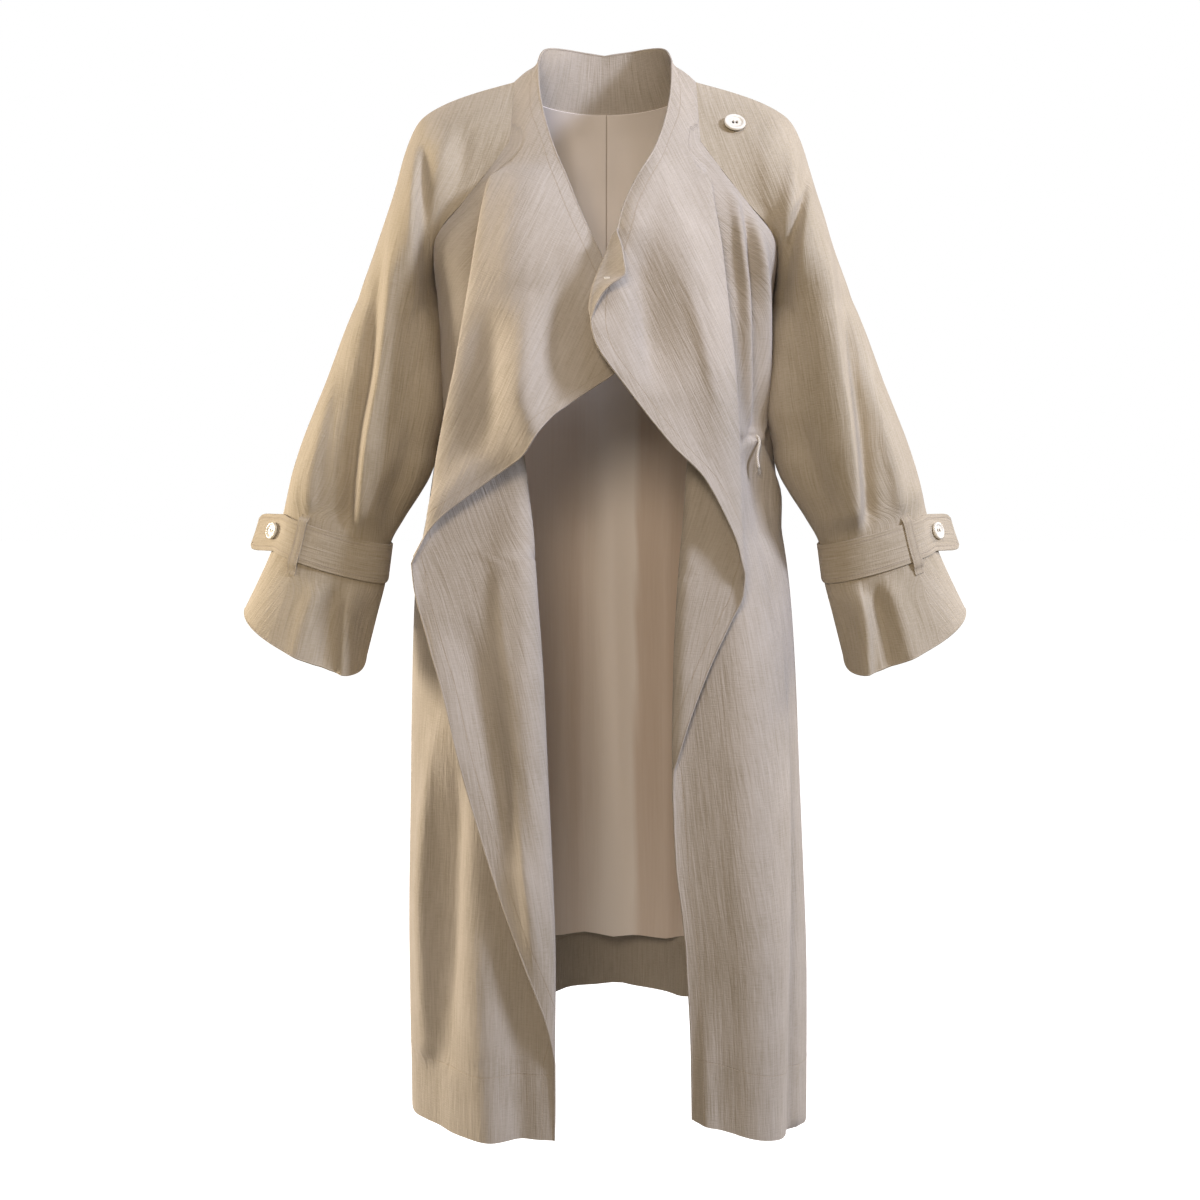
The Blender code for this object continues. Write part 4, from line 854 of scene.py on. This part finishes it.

# Back lining: smooth satin inside the back, in two halves joined by a seam down the middle, with
# ease that falls in soft upright folds. Painted light and shade: its top and an upright band right of the
# middle are painted lighter, the rest below painted darker. It ends a hand's width above the hem.
LINING_WALL, LINING_CLEAR, LINING_BOTTOM_Z = 1.0, 2.4, -1036
LINING_COLUMNS, LINING_ROWS = 100, 180
# Painted light and shade on the lining: below top_z, a band from x -34 to 40 is painted light. It fades in
# over 34 mm from the left, ends within 4 mm on the right, and has painted shade beside it.
PAINTED_LIGHT_BAND = {"top_z": -260, "fade_z": 120, "x": -34, "rises": 34, "end_x": 40, "falls": 4}
LINING_SEAM_X = 2
CREASES_LINING = [
    ((-52, -50, -58), (-380, -700, -1050), (0, 4, 5), 18, 12),
    ((2, 2, 4), (-320, -600, -1050), (0, 11, 11), 14, 30),
    ((72, 76, 80), (-320, -600, -1050), (0, 12, 12), 34, 16),
    ((-14, -18, -22), (-440, -760, -1050), (0, -3, -3), 12, 14),
    ((-34, -30, -26), (-40, -120, -240), (1, 4, 0), 9, 13),
    ((26, 30, 34), (-40, -120, -260), (0, 3, 0), 10, 10)]


def lining_satin(name, light, dark):
    """Polyester satin: smooth and softly glossy, with threads too fine to see and faint streaks
    along the warp 2.5 mm wide. The second sewing value is painted light and shade: 1 paints the satin light,
    0 paints it in shade."""
    made, tree, shader = new_material(name)
    thread = add_node(tree, "ShaderNodeAttribute", attribute_name="thread_mm").outputs["Vector"]
    sewing = add_node(tree, "ShaderNodeAttribute", attribute_name="sewing_mm").outputs["Vector"]
    mapped = add_node(tree, "ShaderNodeMapping", {"Vector": thread, "Scale": (1 / 2.5, 1 / 90, 1)}).outputs[0]
    streak = add_node(tree, "ShaderNodeTexNoise", {"Vector": mapped, "Scale": 1.0, "Detail": 3.0}).outputs[0]
    lines = add_node(tree, "ShaderNodeSeparateXYZ", {0: sewing}).outputs
    # The tone is the painted light and shade of the second sewing value, with the streaks added.
    tone = add_node(tree, "ShaderNodeMath", {0: streak, 1: 0.3, 2: lines[1]},
                    operation="MULTIPLY_ADD").outputs[0]
    ramp = add_node(tree, "ShaderNodeValToRGB", {"Fac": tone})
    ramp.color_ramp.elements[0].color, ramp.color_ramp.elements[1].color = linear(dark), linear(light)
    away = add_node(tree, "ShaderNodeMath", {0: lines[0]}, operation="ABSOLUTE").outputs[0]
    groove = add_node(tree, "ShaderNodeMapRange", {"Value": away, "From Max": 0.9},
                      interpolation_type="SMOOTHSTEP").outputs[0]
    # Along the middle seam the satin is mixed to #C4B3A4. This is painted shade in the seam's groove, beside
    # a real bump.
    shade = add_node(tree, "ShaderNodeMix", {0: groove, 6: linear("#C4B3A4"), 7: ramp.outputs["Color"]},
                     data_type="RGBA").outputs[2]
    bump = add_node(tree, "ShaderNodeBump", {"Height": groove, "Distance": 0.001, "Strength": 0.7}).outputs[0]
    bump = add_node(tree, "ShaderNodeBump", {"Height": streak, "Distance": 0.0004, "Strength": 0.08,
                                             "Normal": bump}).outputs[0]
    set_inputs(tree, shader, {"Base Color": shade, "Normal": bump, "Roughness": 0.48,
                              "Specular IOR Level": 0.4, "Sheen Weight": 0.1})
    return made


lining = back_grid(LINING_COLUMNS, False)
inward = -normals(lining, [0, 1, 0])
depth = read(FLUTES_BACK, "depth", lining[..., 2])[..., None]
lining = (lining + inward * (LINING_CLEAR + 1.2 * depth))[:, 3:-3]
lining = refine(lining, 2 * LINING_ROWS)
lining = lining[lining[..., 2].mean(1) > LINING_BOTTOM_Z][::2]
lining = creased(lining, normals(lining, [0, -1, 0]), CREASES_LINING, 1.0)
far, down = lengths(lining)
thread = np.stack(np.broadcast_arrays(far - far[:, -1:] / 2, down[:, None], 0.0), -1)
# Painted light on the lining's top: above top_z the second sewing value is 1, light. It fades over fade_z to
# the painted band and the painted shade beside it.
low = np.clip((PAINTED_LIGHT_BAND["top_z"] - lining[..., 2]) / PAINTED_LIGHT_BAND["fade_z"], 0, 1)
lit_band = (np.clip((lining[..., 0] - PAINTED_LIGHT_BAND["x"]) / PAINTED_LIGHT_BAND["rises"], 0, 1)
         * np.clip((PAINTED_LIGHT_BAND["end_x"] - lining[..., 0]) / PAINTED_LIGHT_BAND["falls"], 0, 1))
sewing = np.stack([lining[..., 0] - LINING_SEAM_X + NO_SEAM * low, 1 - low + low * lit_band,
                   np.full_like(far, NO_SEAM)], -1)
# The ramp's light end, near white, is painted light for the inside of the back. Its dark end is painted
# shade.
SATIN = lining_satin("lining_satin", "#FAF1E9", "#D9C6B5")
made = piece("satin_back_lining", [shell(lining, normals(lining, [0, 1, 0]), LINING_WALL, thread, sewing)],
             SATIN, "back_lining")

# Raglan sleeves: a front and a back half of linen each, seamed from the neck over the shoulder and
# down the arm. The cuff end is drawn in by its strap and flares out below it.
SLEEVE_COLUMNS, SLEEVE_ROWS = 106, 172
RAGLAN_FRONT_Z = (-65, -85, -108, -132, -155, -180, -210, -240)
SHOULDER = {"x": (99, 142, 178, 203, 218, 231, 250, 270),
            "y": (-5, 0, 2, 1, 0, 0, -1, -2),
            "z": (5, -6, -19, -36, -66, -110, -165, -222),
            "front": (0, 8, 16, 26, 38, 52, 68, 80),
            "back": (0, 8, 16, 24, 34, 46, 58, 68),
            "inner": (1.0, 1.1, 1.25, 1.25, 1.0, 0.6, 0.42, 0.35),
            "lift": (0.9, 0.9, 0.8, 0.6, 0.4, 0.25, 0.1, 0.0),
            "ease": (0, 0, 0.2, 0.5, 0.9, 1.4, 2.0, 2.4)}
ARM = {"step": (0, 1, 2, 3, 4, 5, 6, 7),
       "outer_x": (270, 288, 307, 330, 344, 354, 366, 398),
       "outer_z": (-222, -270, -322, -378, -420, -462, -500, -567),
       "inner_x": (182.5, 187, 185, 187, 204, 238, 243, 264),
       "inner_z": (-240, -292, -346, -402, -440, -497, -535, -586),
       "y": (-2, -24, -34, -42, -45, -48, -52, -58),
       "front": (80, 64, 60, 58, 54, 46, 46, 54),
       "back": (68, 62, 58, 56, 52, 44, 44, 48),
       "dip": (0, 0, 0, 0, 0, 0, 3, 50),
       "inner": (0.7, 0.6, 0.6, 0.7, 0.9, 1.0, 1.0, 1.0),
       "seam_turn": (180, 162, 140, 126, 120, 119, 120, 122)}
STRAP_MIDDLE, STRAP_GRIP = -490, 36
SEAM_BLEND, SLEEVE_INSET = 24, 0.3
YOKE_Z, YOKE_HEIGHT = -30, 90
INNER_SIDE = ((182, 184, 186, 186, 187), (-236, -270, -310, -350, -390), (0, 9, 10, 8, 0), 15, 15)
SLEEVE_CREASES = {
    ("right", True): [
        ((-216, -224, -230, -239, -252, -260, -266, -268),
         (-70, -130, -218, -303, -374, -431, -481, -500), (0, 8, 13, 15, 16, 15, 12, 8), 7, 26),
        ((-232, -242, -251, -265, -273, -279), (-130, -218, -303, -374, -431, -485),
         (0, -7, -9, -10, -11, -9), 10, 7),
        ((-194, -193, -193, -192), (-60, -96, -150, -236), (0, -8, -9, -6), 5, 9),
        ((-204, -204, -205, -205), (-60, -96, -150, -236), (0, 5, 6, 3), 12, 5),
        ((-168, -174, -180), (-50, -96, -150), (1, 6, 2), 12, 14),
        ((-146, -152, -160), (-44, -80, -130), (0, -4, 0), 9, 9),
        ((-200, -218, -232, -240), (-350, -408, -444, -490), (0, -8, -11, -8), 9, 16),
        ((-292, -304, -318, -326), (-290, -350, -420, -480), (0, 6, 7, 4), 12, 9),
        ((-322, -336, -343), (-380, -430, -480), (0, 5, 5), 8, 8),
        ((-272, -279, -284), (-535, -566, -640), (6, 12, 13), 7, 16),
        ((-258, -264, -270), (-540, -580, -640), (-2, -5, -5), 8, 12),
        ((-306, -318, -332), (-530, -560, -610), (5, 6, 5), 12, 9),
        ((-290, -298, -306), (-530, -566, -620), (-3, -7, -6), 8, 8)],
    ("left", True): [
        ((232, 234, 238, 247, 260, 271, 274), (-80, -120, -177, -283, -376, -470, -500),
         (0, 9, 17, 23, 25, 21, 12), 36, 8),
        ((244, 250, 260, 273, 284), (-110, -177, -283, -376, -480), (0, -7, -9, -11, -9), 7, 10),
        ((222, 212, 199, 192), (-64, -110, -165, -236), (0, -8, -9, -6), 8, 5),
        ((206, 199, 190), (-66, -110, -160), (1, 6, 2), 10, 7),
        ((231, 222, 210, 204), (-68, -110, -165, -236), (0, 5, 6, 3), 5, 12),
        ((168, 172, 176), (-44, -96, -150), (0, 3, 0), 9, 12),
        ((204, 222, 240), (-350, -400, -450), (0, -9, -6), 16, 12),
        ((297, 322, 338), (-231, -338, -420), (0, -6, -6), 12, 10),
        ((286, 300, 316, 322), (-300, -370, -430, -480), (0, 6, 7, 4), 9, 12),
        ((330, 340, 348), (-380, -430, -480), (0, 4, 4), 8, 8),
        ((272, 281, 285), (-538, -573, -640), (6, 12, 13), 16, 7),
        ((258, 264, 270), (-540, -580, -640), (-2, -5, -5), 12, 8),
        ((304, 316, 330), (-530, -560, -610), (5, 6, 5), 9, 12),
        ((290, 298, 308), (-530, -566, -620), (-3, -7, -6), 8, 8)],
    ("right", False): [
        ((-215, -235, -262), (-120, -300, -470), (0, 12, 9), 14, 9),
        ((-290, -305, -330), (-240, -360, -470), (0, 8, 6), 9, 14),
        ((-210, -240, -275), (-370, -420, -480), (0, -9, 0), 12, 12),
        ((-180, -196, -204), (-70, -130, -200), (0, 5, 0), 10, 12),
        ((-290, -300, -308), (-535, -566, -620), (5, 9, 9), 10, 14)],
    ("left", False): [
        ((212, 236, 258), (-110, -290, -460), (0, 12, 9), 9, 14),
        ((286, 308, 326), (-230, -350, -460), (0, 8, 6), 14, 9),
        ((214, 244, 272), (-360, -420, -484), (0, -9, 0), 12, 12),
        ((182, 198, 206), (-60, -130, -210), (0, 5, 0), 12, 10),
        ((286, 296, 306), (-535, -566, -620), (5, 9, 9), 14, 10)]}


def arm_ring(step, turns):
    """Oval round the arm between its outer and inner side; turns 0 inner, 90 front, 180 outer, 270 back."""
    c = {name: smooth(ARM["step"], ARM[name], step) for name in ARM if name != "step"}
    turn = np.radians(turns)
    outer, inner = (np.array([c[s + "_x"], c["y"], c[s + "_z"]]) for s in ("outer", "inner"))
    ring = (outer + inner) / 2 - np.outer(np.cos(turn), (outer - inner) / 2)
    near_body = (np.sin(turn) > 0) & (np.cos(turn) > 0)
    swell = np.sign(np.sin(turn)) * np.abs(np.sin(turn)) ** np.where(near_body, c["inner"], 1)
    ring[:, 1] -= np.where(swell > 0, c["front"], c["back"]) * swell
    ring[:, 2] -= c["dip"] * np.sin(math.pi * np.clip((np.asarray(turns, float) % 360) / 180, 0, 1) ** 0.45)
    return ring


def sleeve_grid(front):
    """Lines of half a sleeve from its raglan and underarm seam to the seam along the arm: bowed lines
    over the shoulder, then parts of the arm's ovals."""
    even = np.linspace(0, 1, SLEEVE_COLUMNS)[:, None]
    part = 0.6 * even + 0.2 * (1 - np.cos(math.pi * even))
    seams, table = (RAGLAN_FRONT_Z, RAGLAN_FRONT) if front else (RAGLAN_BACK_Z, RAGLAN_BACK)
    lines = []
    for k, z in enumerate(seams[:-1]):
        low = np.array([read(table, "x", z) + SHOULDER["ease"][k], read(table, "y", z), z])
        ridge = np.array([SHOULDER[c][k] for c in "xyz"], float)
        way = unit(np.array([0, -1 if front else 1, SHOULDER["lift"][k]]))
        way *= SHOULDER["front" if front else "back"][k]
        flat = 1 - 0.5 * (k / (len(seams) - 1)) ** 3
        flat = np.where((part < 0.5) & front, SHOULDER["inner"][k], flat)
        lines.append(low + (ridge - low) * part + way * (4 * part * (1 - part)) ** flat)
    if not front:
        lines[0] = neck_seam(np.linspace(BACK_SHARE_OF_NECK, 1, SLEEVE_COLUMNS))
    for step in np.linspace(0, ARM["step"][-1], 15):
        seam = float(smooth(ARM["step"], ARM["seam_turn"], step))
        lines.append(arm_ring(step, np.linspace(0 if front else 360, seam, SLEEVE_COLUMNS)))
    grid = np.array(lines)
    for edge, inside in ((0, 1), (-1, -2)):
        way = grid[:, inside] - grid[:, edge]
        grid[:, edge] += SLEEVE_INSET * way / np.maximum(np.linalg.norm(way, axis=1, keepdims=True), 1e-6)
    return refine(grid, SLEEVE_ROWS, slice(-1, None))


# The sleeves and straps get a slightly darker, warmer copy of the same linen. This is a painted tint for the
# warmer light on them.
LINEN_SLEEVE = crinkled_linen("crinkled_linen_sleeve", "#BAAF9D", "#B0A490", "#A1957F")
for side in ("right", "left"):
    mirror = [1 if side == "left" else -1, 1, 1]
    inner = (np.array(INNER_SIDE[0]) * mirror[0], *INNER_SIDE[1:])
    halves = {}
    for front in (True, False):
        grid = sleeve_grid(front) * mirror
        outward = normals(grid, [0, -1 if front else 1, 0])
        from_seam = np.clip(lengths(grid)[0] / SEAM_FADE, 0, 1) ** 2
        weight = np.where(grid[:, :1, 2] > UNDERARM_Z, from_seam, 1)
        weight = weight * (1 - np.exp(-((grid[:, -1:, 2] - STRAP_MIDDLE) / STRAP_GRIP) ** 6))
        for facing, half in ((-1, True), (1, False)):
            seen = np.clip(3 * facing * outward[..., 1] + 0.2, 0, 1)
            grid = creased(grid, np.array([0.0, facing, 0.0]), SLEEVE_CREASES[side, half], weight * seen)
        halves[front] = creased(grid, outward, [inner], 1.0)
    seam = (halves[True][:, -1] + halves[False][:, -1]) / 2
    for front, grid in halves.items():
        far = lengths(grid)[0]
        near_seam = np.clip(1 - (far[:, -1:] - far) / SEAM_BLEND, 0, 1)[..., None] ** 2
        grid = grid + near_seam * (seam - grid[:, -1])[:, None]
        outward = normals(grid, [0, -1 if front else 1, 0])
        far, down = lengths(grid)
        across = grid @ (np.array([0.98, 0, 0.2]) * mirror)
        along = -grid @ (np.array([-0.2, 0, 0.98]) * mirror)
        middle = SLEEVE_COLUMNS // 2
        round_arm = far - far[:, middle:middle + 1] + across[:, middle:middle + 1]
        share = np.clip((YOKE_Z - grid[:, middle, 2]) / YOKE_HEIGHT, 0, 1)[:, None]
        thread = np.stack([across * (1 - share) + round_arm * share, along, 0 * far], -1)
        half = "front" if front else "back"
        made = piece("linen_sleeve_%s_%s" % (side, half),
                     [shell(grid, outward, WALL, thread, np.full_like(grid, NO_SEAM)),
                      tube(grid[-1], 1.1, 8)],
                     LINEN_SLEEVE, "sleeve_%s_%s" % (side, half))

# Cuff straps: a doubled linen strip round each sleeve, edge-stitched, held by a narrow carrier loop.
# The end is buttoned on the outside of the arm and its tab stands free past the button.
STRAP = {"top": 5.0, "steps": 1.0, "wall": 1.8, "clear": 0.8, "start": 192, "leaves": 518,
         "tab": 46, "out": 0.08, "drop": -0.05}
LOOP = {"turn": 121, "width": 9, "wall": 1.2}
BUTTON_ALONG_TAB = 10


def on_sleeve(turns, step, rise):
    """Points that stand off the arm's oval along its normal."""
    ring = arm_ring(step, turns)
    out = np.cross(arm_ring(step + 0.02, turns) - ring, arm_ring(step, np.asarray(turns) + 0.5) - ring)
    return ring + rise * unit(out)


def strap_grid():
    """Strap line by line: round the arm's oval, then straight off it as the tab, narrowed at its end."""
    turns = np.linspace(STRAP["start"], STRAP["leaves"], 21)
    rise = WALL / 2 + STRAP["clear"] + STRAP["wall"] / 2
    lines = []
    for share in (0.0, 0.5, 1.0):
        ring = on_sleeve(turns, STRAP["top"] + STRAP["steps"] * share, rise)
        way = unit((ring[-1] - ring[-2]) * [1, 1, 0]) + [STRAP["out"], -STRAP["out"], STRAP["drop"]]
        way = STRAP["tab"] * unit(way)
        lines.append(np.vstack([ring, ring[-1] + np.outer((0.2, 0.45, 0.7, 0.9, 1.0), way)]))
    grid = np.stack(lines, 1)
    for row, keep in ((-1, 0.72), (-2, 0.94)):
        grid[row] = grid[row, 1] + (grid[row] - grid[row, 1]) * keep
    return grid


def loop_grid():
    """Loop line by line: flat on the sleeve, over the strap, and flat on the sleeve again."""
    low = WALL / 2 + 0.35 + LOOP["wall"] / 2
    high = WALL / 2 + STRAP["clear"] + STRAP["wall"] + 0.4 + LOOP["wall"] / 2
    wide = math.degrees(LOOP["width"] / 52) / 2
    turns = np.linspace(LOOP["turn"] - wide, LOOP["turn"] + wide, 7)
    shares = (-0.22, -0.15, -0.09, 0.3, 0.7, 1.09, 1.15, 1.22)
    rises = (low, low + 0.2, high, high + 0.2, high + 0.2, high, low + 0.2, low)
    return np.array([on_sleeve(turns, STRAP["top"] + STRAP["steps"] * s, r) for s, r in zip(shares, rises)])


strap = refine(refine(strap_grid(), 150).transpose(1, 0, 2), 15).transpose(1, 0, 2)
loop = refine(loop_grid(), 40)
for side in ("right", "left"):
    mirror = [1 if side == "left" else -1, 1, 1]
    for name, plain, wall, inset in (("carrier_loop", loop, LOOP["wall"], 2.0),
                                     ("cuff_strap", strap, STRAP["wall"], 4.0)):
        grid = plain * mirror
        outward = normals(grid, [0, -1, 0])
        outward *= np.sign(outward[len(grid) // 2, :, 1].sum() * (-1 if name == "carrier_loop" else 1)) or 1
        far, down = lengths(grid)
        thread = np.stack(np.broadcast_arrays(far, down[:, None], 0.0), -1)
        sewing = np.stack([far - inset, far[:, -1:] - far - inset, np.full_like(far, NO_SEAM)], -1)
        rows = [stitch_row(on_rows(grid, far, at) + face * on_rows(outward, far, at) * (wall - WALL) / 2,
                           face * on_rows(outward, far, at))
                for at in (inset, far[:, -1] - inset) for face in (1, -1)]
        piece("stitching_%s_%s" % (name, side), rows, THREAD)
        rims = [tube(grid[:, edge], wall * 0.55, 8) for edge in (0, -1)]
        node = ("strap_loop_" if name == "carrier_loop" else "cuff_strap_") + side
        piece("linen_%s_%s" % (name, side), [shell(grid, outward, wall, thread, sewing), *rims],
                           LINEN_SLEEVE, node)

# Buttons: ivory shell-like polyester, turned with a rounded rim round a shallow dish and two holes.
# One on each strap and one on the wearer's left shoulder, sewn on with thread that is coloured dark as
# painted shade in the holes.
BUTTON_THICK = 4.0
STRAP_BUTTON, SHOULDER_BUTTON = 19, 23.5
SHOULDER_BUTTON_AT, SHOULDER_BUTTON_LIFT = (137, -46), 2.1
BUTTON_HOLES, HOLE_RADIUS = 1.9, 1.15
BUTTON_PROFILE = {"r": (0.0, 0.5, 0.80, 0.97, 1.0, 0.95, 0.84, 0.72, 0.62, 0.5, 0.3, 0.0),
                  "h": (0.0, 0.0, 0.0, 0.28, 0.55, 0.9, 1.0, 0.92, 0.72, 0.67, 0.66, 0.66)}


def turned_button(diameter, centre, axis):
    """Profile spun about the axis; the dish sinks in two round pits where the thread goes through."""
    axis = unit(axis)
    across = unit(np.cross(axis, [0, 0, 1.0]))
    up = np.cross(axis, across)
    knots = np.linspace(0, 1, len(BUTTON_PROFILE["r"]))
    profile = np.column_stack([BUTTON_PROFILE["r"], BUTTON_PROFILE["h"]])
    profile = smooth(knots, profile, np.linspace(0, 1, 90))
    turn = np.linspace(0, 2 * math.pi, 72, endpoint=False)
    r = np.maximum(profile[:, :1], 0.004) * diameter / 2
    a, b = r * np.cos(turn), r * np.sin(turn)
    h = np.broadcast_to(profile[:, 1:] * BUTTON_THICK, a.shape).copy()
    pit = np.hypot(np.abs(a) - BUTTON_HOLES, 0.6 * b) / HOLE_RADIUS
    h[45:] -= 2.5 / (1 + np.exp(np.minimum(14 * (pit[45:] - 1), 60)))
    points = centre + a[..., None] * across + b[..., None] * up + h[..., None] * axis
    n = np.arange(a.size).reshape(a.shape)
    wrap = np.roll(n, -1, 1)
    quads = np.stack([n[:-1], wrap[:-1], wrap[1:], n[1:]], -1).reshape(-1, 4)
    quads = np.concatenate([quads, fan(n[0][::-1]), fan(n[-1])])
    quads = quads if np.dot(np.cross(across, up), axis) > 0 else quads[:, ::-1]
    blank = np.full((a.size, 3), NO_SEAM)
    top = centre + axis * (0.66 * BUTTON_THICK + 0.1)
    bow = np.linspace(-1, 1, 9)
    strand = top + np.outer(1.5 * bow, up) - np.outer(0.9 + 0.9 * bow ** 4, axis)
    threads = [tube(strand + across * s * BUTTON_HOLES, 0.75, 8) for s in (-1, 1)]
    return (points.reshape(-1, 3), quads, blank, blank), threads


def ivory_shell(name):
    """Cast polyester made to look like shell: ivory, polished, with faint milky clouds 6 mm wide."""
    made, tree, shader = new_material(name)
    place = add_node(tree, "ShaderNodeTexCoord").outputs["Object"]
    cloud = add_node(tree, "ShaderNodeTexNoise", {"Vector": place, "Scale": 160.0, "Detail": 3.0,
                                                  "Distortion": 1.5}).outputs[0]
    ramp = add_node(tree, "ShaderNodeValToRGB", {"Fac": cloud})
    ramp.color_ramp.elements[0].color = linear("#DCD6C6")
    ramp.color_ramp.elements[1].color = linear("#F3F0E7")
    set_inputs(tree, shader, {"Base Color": ramp.outputs["Color"], "Roughness": 0.22,
                              "Coat Weight": 0.3, "Coat Roughness": 0.12})
    return made


IVORY = ivory_shell("ivory_shell")
# Dark brown thread in the holes: the thread is real, but its dark colour is painted shade in the holes.
SHADE_DARK_BUTTON_THREAD = sewing_thread("button_thread_painted_shade", "#4A4036")
ends = strap_grid()
tab = ends[-1, 1] - ends[-6, 1]
face = unit(np.cross(tab, ends[-5, 0] - ends[-5, 2]))
face *= -np.sign(face[1])
seat = ends[-6, 1] + tab * BUTTON_ALONG_TAB / STRAP["tab"] + face * (STRAP["wall"] / 2 + 0.3)
places = {"strap_button_" + side: (STRAP_BUTTON, seat * m, face * m)
          for side, m in (("right", np.array([-1, 1, 1])), ("left", np.array([1, 1, 1])))}
yoke = sleeve_grid(True)
out = normals(yoke, [0, -1, 0])
gap = np.hypot(yoke[..., 0] - SHOULDER_BUTTON_AT[0], yoke[..., 2] - SHOULDER_BUTTON_AT[1])
row, column = np.unravel_index(gap.argmin(), gap.shape)
seat, face = yoke[row, column], out[row, column]
places["shoulder_button"] = (SHOULDER_BUTTON, seat + face * (WALL / 2 + SHOULDER_BUTTON_LIFT), face)
for name, (diameter, centre, axis) in places.items():
    body, threads = turned_button(diameter, centre, axis)
    piece("ivory_" + name, [body], IVORY, name)
    piece("thread_of_" + name, threads, SHADE_DARK_BUTTON_THREAD)
